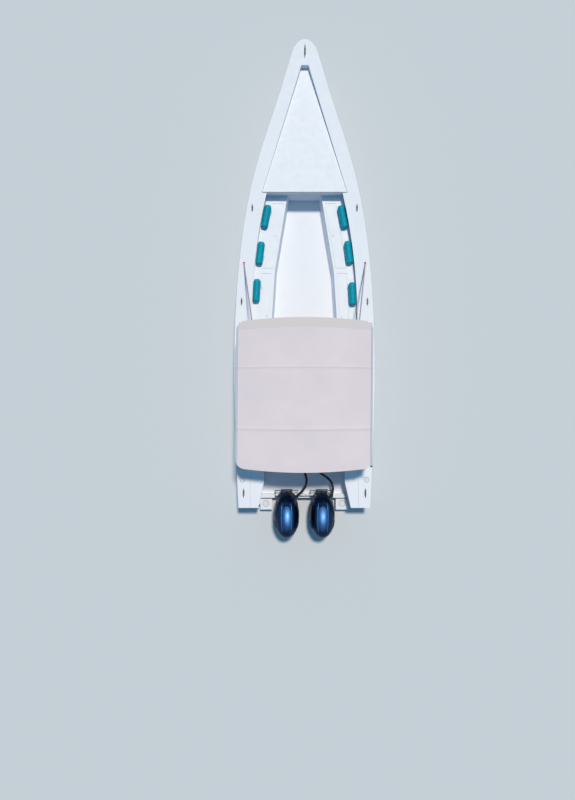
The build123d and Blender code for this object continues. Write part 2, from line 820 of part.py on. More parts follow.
def awning_plan():
    """Plan of the awning, with bowed ends."""
    y0, y1 = AWNING_REAR_Y + AWNING_BULGE, AWNING_FRONT_Y - AWNING_BULGE
    with BuildSketch() as plan:
        with BuildLine():
            ThreePointArc((-AWNING_HALF, y1), (0, AWNING_FRONT_Y), (AWNING_HALF, y1))
            Line((AWNING_HALF, y1), (AWNING_HALF, y0))
            ThreePointArc((AWNING_HALF, y0), (0, AWNING_REAR_Y), (-AWNING_HALF, y0))
            Line((-AWNING_HALF, y0), (-AWNING_HALF, y1))
        make_face()
        fillet(plan.vertices(), AWNING_CORNER)
    return plan.sketch


def build_awning():
    """Fabric roof: a thin crowned skin."""
    inner_rise = BOW_RADIUS + SEAT_GAP
    outside = extrude(awning_section(inner_rise + AWNING_THICKNESS), amount=-2 * FAR)
    inside = extrude(awning_section(inner_rise), amount=-2 * FAR)
    plan = extrude(awning_plan(), amount=4000)
    with BuildPart() as awning:
        add(plan)
        add(outside, mode=Mode.INTERSECT)
        add(inside, mode=Mode.SUBTRACT)
    return awning.part


def console_front_y():
    """Front face of the console."""
    return CONSOLE_AFT_Y + CONSOLE_DEPTH


def build_console():
    """Helm console, with a sloping dash that faces aft."""
    y0, y1 = CONSOLE_AFT_Y, console_front_y()
    with BuildPart() as console:
        with BuildSketch(Plane.YZ):
            Polygon(
                (y0, SOLE_TOP),
                (y1, SOLE_TOP),
                (y1 - 60, SOLE_TOP + CONSOLE_HEIGHT),
                (CONSOLE_DASH_Y, SOLE_TOP + CONSOLE_HEIGHT),
                (y0, SOLE_TOP + CONSOLE_DASH_LOW),
                align=None,
            )
        extrude(amount=CONSOLE_HALF, both=True)
        fillet(console.edges().filter_by(Axis.X), 12)
    return console.part


def dash_place():
    """Place on the dash, Z standing out of it towards the helmsman's seat."""
    low = (CONSOLE_AFT_Y, SOLE_TOP + CONSOLE_DASH_LOW)
    high = (CONSOLE_DASH_Y, SOLE_TOP + CONSOLE_HEIGHT)
    slope = math.degrees(math.atan2(high[1] - low[1], high[0] - low[0]))
    return Pos(0, (low[0] + high[0]) / 2, (low[1] + high[1]) / 2) * Rot(X=slope)


def build_screen():
    """Low clear screen on top of the console."""
    y = console_front_y() - 90
    top = SOLE_TOP + CONSOLE_HEIGHT + SEAT_GAP
    half = CONSOLE_HALF - 20
    with BuildPart() as screen:
        with BuildSketch(Plane.XZ.offset(-y)):
            with BuildLine():
                Polyline((-half, top), (half, top), (half - 40, top + SCREEN_HEIGHT - 40))
                ThreePointArc(
                    (half - 40, top + SCREEN_HEIGHT - 40),
                    (0, top + SCREEN_HEIGHT),
                    (40 - half, top + SCREEN_HEIGHT - 40),
                )
                Line((40 - half, top + SCREEN_HEIGHT - 40), (-half, top))
            make_face()
        extrude(amount=SCREEN_THICKNESS)
    return screen.part


def build_wheel():
    """Steering wheel on its hub, built about Z and then set on the dash."""
    with BuildPart() as wheel:
        with Locations((0, 0, WHEEL_STANDOFF)):
            Torus(WHEEL_RADIUS - WHEEL_RIM_RADIUS, WHEEL_RIM_RADIUS)
        with Locations((0, 0, WHEEL_STANDOFF - 30)):
            Cylinder(WHEEL_HUB_RADIUS, 34, align=(Align.CENTER, Align.CENTER, Align.MIN))
        for turn in (90, 210, 330):
            reach = WHEEL_RADIUS - 2 * WHEEL_RIM_RADIUS + 6
            spoke = block((WHEEL_HUB_RADIUS - 8, -11, WHEEL_STANDOFF - 7), (reach, 11, WHEEL_STANDOFF))
            add(Rot(Z=turn) * spoke)
        with Locations((0, 0, WHEEL_STANDOFF - 40)):
            Cylinder(
                WHEEL_SHAFT_RADIUS + PIN_GAP, 40 - 10,
                align=(Align.CENTER, Align.CENTER, Align.MIN), mode=Mode.SUBTRACT,
            )
    return wheel.part


def build_helm_shaft():
    """Boss and shaft on the dash that the steering wheel turns on."""
    boss = Solid.make_cylinder(45, WHEEL_STANDOFF - 36)
    shaft = Solid.make_cylinder(WHEEL_SHAFT_RADIUS, WHEEL_STANDOFF - 12)
    return fuse([boss, shaft])


def build_lever_box():
    """Twin throttle and shift levers on their box."""
    box = block((-45, -60, 0), (45, 60, 40))
    levers = []
    for x in (-22, 22):
        levers.append(rod((x, 0, 30), (x, 40, 150), 7))
        levers.append(rod((x - 16, 42, 155), (x + 16, 42, 155), 13))
    return fuse([box, *levers])


def build_seat_base():
    """Leaning-post base."""
    with BuildPart() as base:
        with Locations((0, SEAT_Y, SOLE_TOP)):
            Box(2 * SEAT_HALF - 60, SEAT_DEPTH - 60, SEAT_BASE_HEIGHT,
                align=(Align.CENTER, Align.CENTER, Align.MIN))
        fillet(base.edges().filter_by(Axis.Z), 40)
    return base.part


def build_seat_cushion():
    """Helm seat cushion."""
    with BuildPart() as cushion:
        with Locations((0, SEAT_Y, SOLE_TOP + SEAT_BASE_HEIGHT + SEAT_GAP)):
            Box(2 * SEAT_HALF, SEAT_DEPTH, SEAT_CUSHION, align=(Align.CENTER, Align.CENTER, Align.MIN))
        fillet(cushion.edges(), 25)
    return cushion.part


def build_cleat(length):
    """Horn cleat about its own middle, along Y."""
    span, waist, half = length * 0.22, length * 0.34, length / 2
    with BuildPart() as cleat:
        Box(34, length * 0.62, 5, align=(Align.CENTER, Align.CENTER, Align.MIN))
        fillet(cleat.edges().filter_by(Axis.Z), 15)
        with BuildSketch(Plane.YZ):
            Polygon(
                (-half, CLEAT_HORN_Z), (-half, CLEAT_HORN_Z + 5), (-waist, CLEAT_HORN_Z + 10),
                (waist, CLEAT_HORN_Z + 10), (half, CLEAT_HORN_Z + 5), (half, CLEAT_HORN_Z), align=None,
            )
        revolve(axis=Axis((0, 0, CLEAT_HORN_Z), (0, 1, 0)))
        for y in (-span, span):
            add(rod((0, y, 3), (0, y * 0.8, CLEAT_HORN_Z), 8))
    return cleat.part


def build_filler():
    """Round deck filler with a sunk cap."""
    with BuildPart() as filler:
        Cylinder(FILLER_RADIUS, FILLER_HEIGHT, align=(Align.CENTER, Align.CENTER, Align.MIN))
        with Locations((0, 0, FILLER_HEIGHT)):
            Cylinder(FILLER_RADIUS - 14, 2, mode=Mode.SUBTRACT,
                     align=(Align.CENTER, Align.CENTER, Align.MAX))
    return filler.part


def build_bow_eye(form):
    """Towing eye on the stem, fitted to the hull."""
    stem = section(form, Plane.XY.offset(BOW_EYE_Z)).bounding_box().max.Y
    y_in, y_out = stem - 400, stem + BOW_EYE_REACH
    with BuildPart() as eye:
        with BuildSketch(Plane.YZ.offset(-BOW_EYE_THICKNESS / 2)):
            with BuildLine():
                ThreePointArc((y_out - 36, BOW_EYE_Z - 36), (y_out, BOW_EYE_Z), (y_out - 36, BOW_EYE_Z + 36))
                Line((y_out - 36, BOW_EYE_Z + 36), (y_in, BOW_EYE_Z + 60))
                Line((y_in, BOW_EYE_Z + 60), (y_in, BOW_EYE_Z - 60))
                Line((y_in, BOW_EYE_Z - 60), (y_out - 36, BOW_EYE_Z - 36))
            make_face()
            with Locations((y_out - 36, BOW_EYE_Z)):
                Circle(BOW_EYE_HOLE, mode=Mode.SUBTRACT)
        extrude(amount=BOW_EYE_THICKNESS)
        add(form, mode=Mode.SUBTRACT)
    return max(eye.part.solids(), key=lambda solid: solid.bounding_box().max.Y)


def build_clamp():
    """Transom bracket: two hooked plates and the thrust rod between them."""
    outline = [
        (-SEAT_GAP, -60),
        (-SEAT_GAP, TRANSOM_TOP + SEAT_GAP),
        (TRANSOM_THICKNESS + SEAT_GAP, TRANSOM_TOP + SEAT_GAP),
        (TRANSOM_THICKNESS + SEAT_GAP, TRANSOM_TOP - 110),
        (TRANSOM_THICKNESS + 24, TRANSOM_TOP - 110),
        (TRANSOM_THICKNESS + 24, TRANSOM_TOP + 16),
        (TILT_Y + 35, TILT_Z - 25),
        (TILT_Y, TILT_Z),
        (TILT_Y - 34, TILT_Z),
        (-72, TRANSOM_TOP - 30),
        (-95, 70),
        (-66, -60),
    ]
    with BuildPart() as plate:
        with BuildSketch(Plane.YZ.offset(PLATE_INNER)):
            Polygon(*outline, align=None)
            with Locations((TILT_Y, TILT_Z)):
                Circle(EAR_RADIUS)
                Circle(TILT_SHAFT_RADIUS + PIN_GAP, mode=Mode.SUBTRACT)
        extrude(amount=PLATE_THICKNESS)
    y, z, radius = THRUST_ROD
    reach = PLATE_INNER + PLATE_THICKNESS / 2
    return fuse([*both_sides(plate.part), rod((-reach, y, z), (reach, y, z), radius)])


def build_swivel():
    """Swivel bracket: tilt shaft and barrel, steering tube, and the fixed rod of the steering ram."""
    reach = RAM_HALF + RAM_TRAVEL + 10
    barrel_half = PLATE_INNER - BARREL_GAP
    with BuildPart() as web:
        with BuildSketch(Plane.YZ.offset(-62)):
            Polygon(
                (TILT_Y, TILT_Z + BARREL_RADIUS - 12),
                (STEER_Y, STEER_TUBE_HIGH),
                (STEER_Y, STEER_TUBE_LOW + 60),
                (-86, 190),
                (-24, TILT_Z - BARREL_RADIUS),
                (TILT_Y, TILT_Z - BARREL_RADIUS + 2),
                align=None,
            )
        extrude(amount=124)
    arms = []
    for side in (-1, 1):
        with BuildPart() as arm:
            with BuildSketch(Plane.YZ.offset(side * (reach + RAM_ARM_THICKNESS / 2) - RAM_ARM_THICKNESS / 2)):
                with Locations((TILT_Y, TILT_Z)):
                    Circle(TILT_SHAFT_RADIUS + 8)
                with Locations((RAM_Y, RAM_Z)):
                    Circle(RAM_ROD_RADIUS + 10)
                Polygon(
                    (TILT_Y - 8, TILT_Z + 20), (TILT_Y + 8, TILT_Z - 20),
                    (RAM_Y + 7, RAM_Z - 17), (RAM_Y - 7, RAM_Z + 17), align=None,
                )
            extrude(amount=RAM_ARM_THICKNESS)
        arms.append(arm.part)
    pieces = [
        rod((-reach - RAM_ARM_THICKNESS, TILT_Y, TILT_Z), (reach + RAM_ARM_THICKNESS, TILT_Y, TILT_Z),
            TILT_SHAFT_RADIUS),
        rod((-barrel_half, TILT_Y, TILT_Z), (barrel_half, TILT_Y, TILT_Z), BARREL_RADIUS),
        rod((0, STEER_Y, STEER_TUBE_LOW), (0, STEER_Y, STEER_TUBE_HIGH), STEER_TUBE_RADIUS),
        web.part,
        *arms,
        rod((-reach, RAM_Y, RAM_Z), (reach, RAM_Y, RAM_Z), RAM_ROD_RADIUS),
    ]
    bore = rod((0, STEER_Y, -500), (0, STEER_Y, 900), KING_PIN_RADIUS + PIN_GAP)
    return cut(fuse(pieces), [bore])


def build_ram():
    """Steering ram barrel that slides on its rod, with the fork that moves the steering arm."""
    barrel = rod((-RAM_HALF, RAM_Y, RAM_Z), (RAM_HALF, RAM_Y, RAM_Z), RAM_RADIUS)
    pin_y = STEER_Y + ARM_REACH
    fork = block((-FORK_HALF, pin_y - 42, FORK_LOW), (FORK_HALF, RAM_Y, FORK_LOW + FORK_THICKNESS))
    slot = block(
        (-FORK_SLOT_HALF, pin_y - 60, FORK_LOW - 5),
        (FORK_SLOT_HALF, pin_y + FORK_SLOT_HALF, FORK_LOW + FORK_THICKNESS + 5),
    )
    bore = rod((-500, RAM_Y, RAM_Z), (500, RAM_Y, RAM_Z), RAM_ROD_RADIUS + PIN_GAP)
    return cut(fuse([barrel, fork]), [slot, bore])


def leg_section(z, front, aft, half):
    """Streamlined section of the motor's leg."""
    with BuildSketch(Plane.XY.offset(z)) as section:
        with Locations((0, (front + aft) / 2)):
            Ellipse(half, (front - aft) / 2)
    return section.sketch


def build_leg():
    """Motor leg: king pin, steering arm, housing, ventilation plate, torpedo, skeg and shaft."""
    with BuildPart() as housing:
        for row in LEG_SECTIONS:
            add(leg_section(*row))
        loft()
    with BuildPart() as torpedo:
        with BuildSketch(Plane.YZ):
            with BuildLine():
                nose, aft = TORPEDO_NOSE_Y, TORPEDO_AFT_Y
                ThreePointArc(
                    (nose, PROP_Z), (nose - 52, PROP_Z + 46), (nose - 160, PROP_Z + TORPEDO_RADIUS)
                )
                Line((nose - 160, PROP_Z + TORPEDO_RADIUS), (aft + 140, PROP_Z + TORPEDO_RADIUS))
                Line((aft + 140, PROP_Z + TORPEDO_RADIUS), (aft, PROP_Z + TORPEDO_AFT_RADIUS))
                Line((aft, PROP_Z + TORPEDO_AFT_RADIUS), (aft, PROP_Z))
                Line((aft, PROP_Z), (nose, PROP_Z))
            make_face()
        revolve(axis=Axis((0, 0, PROP_Z), (0, 1, 0)))
    with BuildPart() as plate:
        with BuildSketch(Plane.XY.offset(VENT_PLATE_Z)):
            half = [(52, -190), (84, -300), (118, -480), (112, -640), (60, -690)]
            Polygon(*half, *[(-x, y) for x, y in reversed(half)], align=None)
        extrude(amount=VENT_PLATE_THICKNESS)
        fillet(plate.edges().filter_by(Axis.Z), 18)
    with BuildPart() as skeg:
        with BuildSketch(Plane.YZ.offset(-SKEG_THICKNESS / 2)):
            Polygon(
                (-330, PROP_Z - 40), (-630, PROP_Z - 40), (-640, SKEG_LOW + 70),
                (-600, SKEG_LOW), (-520, SKEG_LOW), align=None,
            )
        extrude(amount=SKEG_THICKNESS)
    arm_top = ARM_LOW + ARM_THICKNESS
    pin_y = STEER_Y + ARM_REACH
    pieces = [
        housing.part,
        torpedo.part,
        plate.part,
        skeg.part,
        rod((0, TORPEDO_AFT_Y + 20, PROP_Z), (0, TORPEDO_AFT_Y - PROP_SHAFT_LENGTH, PROP_Z), PROP_SHAFT_RADIUS),
        rod((0, STEER_Y, YOKE_LOW), (0, STEER_Y, arm_top), KING_PIN_RADIUS),
        block((-ARM_HALF, pin_y, ARM_LOW), (ARM_HALF, STEER_Y, arm_top)),
        rod((0, pin_y, ARM_LOW), (0, pin_y, arm_top), ARM_HALF),
        block((-46, STEER_Y - 180, ARM_LOW), (46, STEER_Y, arm_top)),
        rod((0, STEER_Y, ARM_LOW), (0, STEER_Y, arm_top), 46),
        block((-40, STEER_Y - 180, YOKE_LOW), (40, STEER_Y, YOKE_LOW + YOKE_THICKNESS)),
        rod((0, STEER_Y, YOKE_LOW), (0, STEER_Y, YOKE_LOW + YOKE_THICKNESS), 40),
        rod((0, pin_y, arm_top - 2), (0, pin_y, LINK_PIN_TOP), LINK_PIN_RADIUS),
    ]
    return fuse(pieces)


def cowl_outline(z, side, front, aft):
    """Egg-shaped plan of the motor at one height, moved in at the sides, the front and the aft end."""
    points = []
    for step in range(COWL_POINTS):
        turn = 2 * math.pi * step / COWL_POINTS
        across, along = [
            math.copysign(abs(value) ** COWL_BLUNTNESS, value) for value in (math.cos(turn), math.sin(turn))
        ]
        ahead, behind = COWL_FRONT_Y - front - COWL_WIDEST_Y, COWL_WIDEST_Y - COWL_AFT_Y - aft
        reach = ahead if along > 0 else behind
        points.append(((COWL_HALF - side) * across, COWL_WIDEST_Y + reach * along))
    with BuildSketch(Plane.XY.offset(z)) as outline:
        with BuildLine():
            Spline(*points, periodic=True)
        make_face()
    return outline.sketch


def cowl_form(inset):
    """Loft of the upper cowl, moved inward by some amount."""
    height = COWL_TOP - inset - SEAM_Z
    with BuildPart() as form:
        for share, *shrinks in COWL_SECTIONS:
            add(cowl_outline(SEAM_Z + share * height, *[shrink + inset for shrink in shrinks]))
        loft()
    return form.part


def build_cowl():
    """Upper cowl, open below."""
    inner = cowl_form(COWL_WALL)
    return cut(cowl_form(0), [inner])


def build_pan(hose_start, hose_next):
    """Lower cowl that the motor stands in, with the gland of its control hose."""
    with BuildPart() as pan:
        add(cowl_outline(PAN_LOW, 40, 48, 40))
        add(cowl_outline(SEAM_Z, 0, 0, 0))
        loft(ruled=True)
    start, after = Vector(*hose_start), Vector(*hose_next)
    way = (after - start).normalized()
    inner = start - way * 60
    gland = rod(inner, start - way * SEAT_GAP, HOSE_RADIUS + 8)
    return fuse([pan.part, gland])


def build_powerhead():
    """Plain block of the engine inside the cowl."""
    width, length, height = POWERHEAD
    y0 = POWERHEAD_Y - length / 2
    return block((-width / 2, y0, SEAM_Z), (width / 2, y0 + length, SEAM_Z + height))


def build_propeller():
    """Three-bladed propeller."""
    front = TORPEDO_AFT_Y - PROP_GAP
    hub = Solid.make_cone(
        PROP_HUB_RADIUS, PROP_HUB_AFT_RADIUS, PROP_HUB_LENGTH, Plane((0, front, 0), z_dir=(0, -1, 0))
    )
    middle = front - PROP_HUB_LENGTH / 2
    blades = []
    for count in range(PROP_BLADES):
        with BuildPart() as blade:
            for radius, chord, thickness in BLADE_SECTIONS:
                pitch = math.atan2(PROP_PITCH, 2 * math.pi * radius)
                plane = Plane(
                    (0, middle, radius), x_dir=(math.cos(pitch), math.sin(pitch), 0), z_dir=(0, 0, 1)
                )
                with BuildSketch(plane):
                    Ellipse(chord / 2, thickness / 2)
            loft()
        blades.append(Rot(Y=360 / PROP_BLADES * count) * blade.part)
    shaft = rod((0, 0, 0), (0, 2 * front, 0), PROP_SHAFT_RADIUS + PIN_GAP)
    return Pos(0, 0, PROP_Z) * cut(fuse([hub, *blades]), [shaft])


def build_tie_bar():
    """Bar that joins the two steering arms."""
    y, z = STEER_Y + ARM_REACH, TIE_BAR_Z
    low, high = z - TIE_EYE_HEIGHT / 2, z + TIE_EYE_HEIGHT / 2
    open_hole = LINK_PIN_RADIUS + TIE_OPEN_EYE_GAP
    pieces = [
        rod((-MOTOR_X, y, z), (MOTOR_X, y, z), TIE_BAR_RADIUS),
        rod((-MOTOR_X, y, low), (-MOTOR_X, y, high), TIE_EYE_RADIUS),
        rod((MOTOR_X, y, low), (MOTOR_X, y, high), TIE_EYE_RADIUS + TIE_OPEN_EYE_GAP),
    ]
    holes = [
        rod((-MOTOR_X, y, low - 50), (-MOTOR_X, y, high + 50), LINK_PIN_RADIUS + PIN_GAP),
        rod((MOTOR_X, y, low - 50), (MOTOR_X, y, high + 50), open_hole),
    ]
    return cut(fuse(pieces), holes)


def build_hose(points, name):
    """Flexible hose: straight runs joined by tangent arcs."""
    points = [Vector(*p) for p in points]
    runs = [b - a for a, b in zip(points, points[1:])]
    radii = []
    for before, after in zip(runs, runs[1:]):
        half_turn = math.radians(before.get_angle(after)) / 2
        radii.append(0.45 * min(before.length, after.length) / math.tan(half_turn))
    print(name, "bend radii", [round(r) for r in radii])
    with BuildPart() as hose:
        with BuildLine() as line:
            path = FilletPolyline(*points, radius=radii)
        with BuildSketch(Plane(path @ 0, z_dir=path % 0)):
            Circle(HOSE_RADIUS)
        sweep()
    print(name, "length", round(path.length), "volume ratio",
          round(hose.part.volume / (path.length * math.pi * HOSE_RADIUS**2), 4))
    return hose.part


def build_grommets():
    """Rings round the hoses where they enter the bulkhead."""
    rings = []
    for points in (HOSE_PORT, HOSE_STBD):
        end, before = Vector(*points[-1]), Vector(*points[-2])
        ring = rod(
            (end.X, WELL_FRONT_Y - GROMMET_THICKNESS, end.Z), (end.X, WELL_FRONT_Y, end.Z), GROMMET_RADIUS
        )
        way = (end - before).normalized()
        hole = rod(before, end + way * 100, HOSE_RADIUS + SEAT_GAP)
        rings.append(cut(ring, [hole]))
    return rings


# Hull and decks.
form = hull_form(0)
whole_hull = build_hull(form)
for name, aft, front in HULL_MOULDINGS:
    save(hull_moulding(whole_hull, aft, front), name)
fore_hull, surround = split_bow(whole_hull)
save(fore_hull, "fore_hull")
save(surround, "foredeck_surround")
save(build_deck(form), "side_decks")
save(build_quarters(form), "quarter_decks")
save(build_rail(form), "rubbing_strake")
save(foredeck_slab(SEAT_GAP, FOREDECK_THICKNESS, PANEL_GAP), "foredeck")
save(build_sole(), "cockpit_sole")

# Benches, lids and bolsters.
bench = build_bench()
save(Compound(children=both_sides(bench)), "benches")
hinges = Compound(children=build_hinges())
save(Compound(children=[s for part in both_sides(hinges) for s in part.solids()]), "lid_hinges")
for name, front, aft, margin in LIDS:
    lid = build_lid(front, aft, margin)
    for side, part in zip(("stbd", "port"), both_sides(lid)):
        save(part, f"lid_{name}_{side}")
rests = [build_backrest(side, y) for side, ys in BACKREST_ROWS for y in ys]
save(Compound(children=rests), "backrests")

# Awning.
save(build_awning(), "awning")
save(Compound(children=[build_bow(y) for y in BOW_YS]), "awning_bows")
save(Compound(children=both_sides(build_rail_tube())), "awning_rails")
save(Compound(children=[part for y in LEG_YS for part in both_sides(build_leg_tube(y))]), "awning_legs")
save(Compound(children=both_sides(build_brace())), "awning_braces")

# Helm.
save(build_console(), "console")
save(build_screen(), "windscreen")
save(dash_place() * Pos(WHEEL_X, 0, 0) * build_helm_shaft(), "helm_shaft")
save(dash_place() * Pos(WHEEL_X, 0, 0) * build_wheel(), "steering_wheel")
save(dash_place() * Pos(LEVER_X, 0, SEAT_GAP) * build_lever_box(), "throttle")
save(build_seat_base(), "helm_seat_base")
save(build_seat_cushion(), "helm_seat_cushion")

# Deck fittings.
cleats = []
for x, y, length in CLEATS:
    for side in (-1, 1) if x else (1,):
        cleats.append(deck_place(side * x, y) * Pos(0, 0, SEAT_GAP) * build_cleat(length))
save(Compound(children=cleats), "cleats")
plates = []
for side in (-1, 1):
    for x, y in FILLER_PLACES:
        plates.append(deck_place(side * x, y) * Pos(0, 0, SEAT_GAP) * build_filler())
    x, y = STEP_PLATE_CENTRE
    plates.append(Pos(side * x, y, STEP_TOP) * Solid.make_cylinder(STEP_PLATE_RADIUS, 4))
save(Compound(children=plates), "deck_plates")
save(build_bow_eye(form), "bow_eye")

# Motors.
clamp, swivel, leg, ram = build_clamp(), build_swivel(), build_leg(), build_ram()
cowl, powerhead, propeller = build_cowl(), build_powerhead(), build_propeller()
for side, x, hose in (("port", -MOTOR_X, HOSE_PORT), ("stbd", MOTOR_X, HOSE_STBD)):
    place = Pos(x, 0, 0)
    start, after = [(p[0] - x, p[1], p[2]) for p in hose[:2]]
    save(place * clamp, f"transom_bracket_{side}")
    save(place * swivel, f"swivel_bracket_{side}")
    save(place * leg, f"motor_leg_{side}")
    save(place * ram, f"steering_ram_{side}")
    save(place * build_pan(start, after), f"lower_cowl_{side}")
    save(place * cowl, f"cowl_{side}")
    save(place * powerhead, f"powerhead_{side}")
    save(place * propeller, f"propeller_{side}")
    save(build_hose(hose, f"control_hose_{side}"), f"control_hose_{side}")
save(build_tie_bar(), "tie_bar")
save(Compound(children=build_grommets()), "hose_grommets")
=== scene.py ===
"""Open speedboat with twin outboard motors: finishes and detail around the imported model."""

import math

import bmesh
import bpy
import numpy as np
from bpy.props import FloatProperty, FloatVectorProperty, PointerProperty
from mathutils import Matrix, Vector
from mathutils.bvhtree import BVHTree


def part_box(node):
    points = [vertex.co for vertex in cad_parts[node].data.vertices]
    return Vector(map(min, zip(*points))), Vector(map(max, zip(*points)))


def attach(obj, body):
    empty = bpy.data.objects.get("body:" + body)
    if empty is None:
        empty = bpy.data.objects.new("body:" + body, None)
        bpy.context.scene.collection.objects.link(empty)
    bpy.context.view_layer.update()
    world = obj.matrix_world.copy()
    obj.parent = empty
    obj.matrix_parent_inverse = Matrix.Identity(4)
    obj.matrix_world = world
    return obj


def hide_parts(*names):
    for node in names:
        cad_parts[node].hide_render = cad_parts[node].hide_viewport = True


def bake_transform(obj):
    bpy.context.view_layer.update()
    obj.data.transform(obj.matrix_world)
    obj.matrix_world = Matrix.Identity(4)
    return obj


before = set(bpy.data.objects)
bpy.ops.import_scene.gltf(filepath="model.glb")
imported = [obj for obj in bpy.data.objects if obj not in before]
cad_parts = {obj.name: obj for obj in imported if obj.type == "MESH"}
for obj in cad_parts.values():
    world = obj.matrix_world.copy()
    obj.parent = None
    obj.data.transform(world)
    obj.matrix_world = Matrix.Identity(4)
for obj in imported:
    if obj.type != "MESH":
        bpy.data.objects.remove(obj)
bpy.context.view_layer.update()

bl_info = {
    "name": "Open Speedboat",
    "version": (1, 0, 0),
    "blender": (4, 5, 0),
    "location": "3D View > Sidebar > Speedboat",
    "description": "Finishes and detail for an open speedboat with an awning and twin outboards",
    "category": "Object",
}

SIGNS = (-1, 1)
SIDES = tuple(zip(("port", "stbd"), SIGNS))
UP, DOWN, AHEAD = (0, 0, 1), (0, 0, -1), (0, 1, 0)

# Camera over the boat, with its lens on a 36 mm sensor, and the light. Angles are in degrees.
CAMERA_PLACE = (-0.367, 2.174, 19.25)
CAMERA_LENS = 38.25
SUN_TURN = (-15, 4, 0)
SUN_WIDTH = 5
SUN_COLOUR = (1.0, 0.90, 0.775)
SKY_COLOUR = (0.20, 0.58, 1.0)
SEEN_SKY_COLOUR = (0.52, 0.62, 0.74)

# Sizes that the source gives its parts, in metres.
CHINE = (
    (-0.267, 1.172), (1.958, 1.236), (4.182, 1.210), (5.295, 1.118), (6.407, 0.945), (7.519, 0.665),
    (8.632, 0.325),
)
CLEAT_PLACES = [(0, 9.510)] + [
    (sign * x, y) for x, y in ((1.120, 6.285), (1.355, 4.297), (1.315, 0.167)) for sign in SIGNS
]
MOTOR_X = 0.387
COWL_WIDEST_Y = -0.330
BOW_END_HALF = 1.325
BOW_END_HEIGHT = 2.092
BOW_CROWN = 2.190
BOW_RADIUS = 0.016
BOW_YS = (3.700, 2.834, 1.604, 0.860)
ARCH_SAG = BOW_CROWN - BOW_END_HEIGHT
ARCH_RADIUS = (BOW_END_HALF**2 + ARCH_SAG**2) / (2 * ARCH_SAG)
LEG_YS = (3.560, 2.200, 0.900)
LEG_FOOT_HALF = 1.385
BRACE_FOOT = (1.304, 5.120)
BACKREST_SIZE = (0.150, 0.500, 0.215)
BACKREST_YS = (6.145, 5.362, 4.510, 3.650, 2.850, 2.050)
SEAT_SIZE = (0.620, 0.330, 0.090)
CONSOLE_HEIGHT = 1.130
DASH_CENTRE = (2.010, 1.000)
DASH_SLOPE = (0.763386, 0.645942)
WHEEL_CENTRE = (-0.110, 1.9413, 1.05813)

# Sizes of what is drawn here alone, in metres.
AWNING_HALF = 1.384
AWNING_FRONT_Y = 3.840
AWNING_REAR_Y = 0.714
AWNING_BULGE = 0.090
AWNING_CORNER = 0.180
CLOTH_THICKNESS = 0.0022
CLOTH_FOLD = 0.0016
CUSHION_VOXEL = 0.0065
CUSHION_SEAM_REACH = 0.010
CUSHION_SEAM_DEPTH = 0.0028
FUEL_CAP = (1.343, 0.453, 0.0525, 0.0055)
STEP_PLATE = (0.850, -0.130, 0.067, 0.004)
OUTLET_YS = (1.35, 1.50, 3.30)
OUTLET_HEIGHT = 0.46
DRAIN_XS = (-0.06, 0.06)
DRAIN_HEIGHT = 0.06
LATCH_YS = (("fwd", 5.75), ("aft", 4.00))
GAUGE_XS = (-0.235, -0.135, -0.035)
DISPLAY = (0.10, 2.205, CONSOLE_HEIGHT + 0.118)
SCREEN_TUBE = (0.310, 2.287, 1.390, 0.03)
DOORS = ((1.900, 0.530, 0.44, 0.40, -1), (1.315, 0.480, 0.40, 0.32, 1))
COWL_SEAM_HEIGHT = 0.646
LEG_BOLTS = ((-0.28, 0.40), (-0.38, 0.40), (-0.30, 0.05), (-0.30, -0.22))
ANODE_Y = -0.540
HOSE_RADIUS = 0.026
HOSE_END_RADIUS = 0.0225
HOSE_END_LENGTH = 0.05
HOSE_TAIL = 6.05 * 2 * HOSE_RADIUS
COLLAR_LENGTH = 0.030
COLLAR_WALL = 0.004
HOSE_ROUTES = {
    "port": [
        (-0.197, 0.045, 0.600), (-0.128, 0.097, 0.600), (-0.062, 0.158, 0.592), (-0.003, 0.226, 0.578),
        (0.039, 0.306, 0.560), (0.056, 0.394, 0.540), (0.045, 0.483, 0.520), (0.018, 0.567, 0.500),
        (-0.003, 0.657, 0.488), (-0.011, 0.752, 0.482), (-0.011, 0.8497, 0.482),
    ],
    "stbd": [
        (0.577, 0.045, 0.600), (0.618, 0.135, 0.600), (0.634, 0.234, 0.592), (0.615, 0.332, 0.576),
        (0.563, 0.417, 0.558), (0.487, 0.481, 0.540), (0.401, 0.532, 0.522), (0.338, 0.589, 0.506),
        (0.294, 0.662, 0.492), (0.272, 0.749, 0.482), (0.272, 0.8497, 0.482),
    ],
}

# Shares of a radius: where a tube tapers off, and between the ribs of a hose.
THINNEST = 0.15
RIB_DEPTH = 0.035
CUSHION_PRESSURE = 4.0


def tone(*screen):
    """Linear colour for a screen colour of 0 to 255."""
    return tuple(
        c / 12.92 if c <= 0.04045 else ((c + 0.055) / 1.055) ** 2.4 for c in (s / 255 for s in screen)
    )


def shaded(colour, shade, lift=0.0):
    """A colour times a shade, which is a number or one for each channel, and lifted a little."""
    shade = shade if hasattr(shade, "__len__") else (shade,) * 3
    return tuple(min(1, c * s + lift) for c, s in zip(colour, shade))


# Finishes.


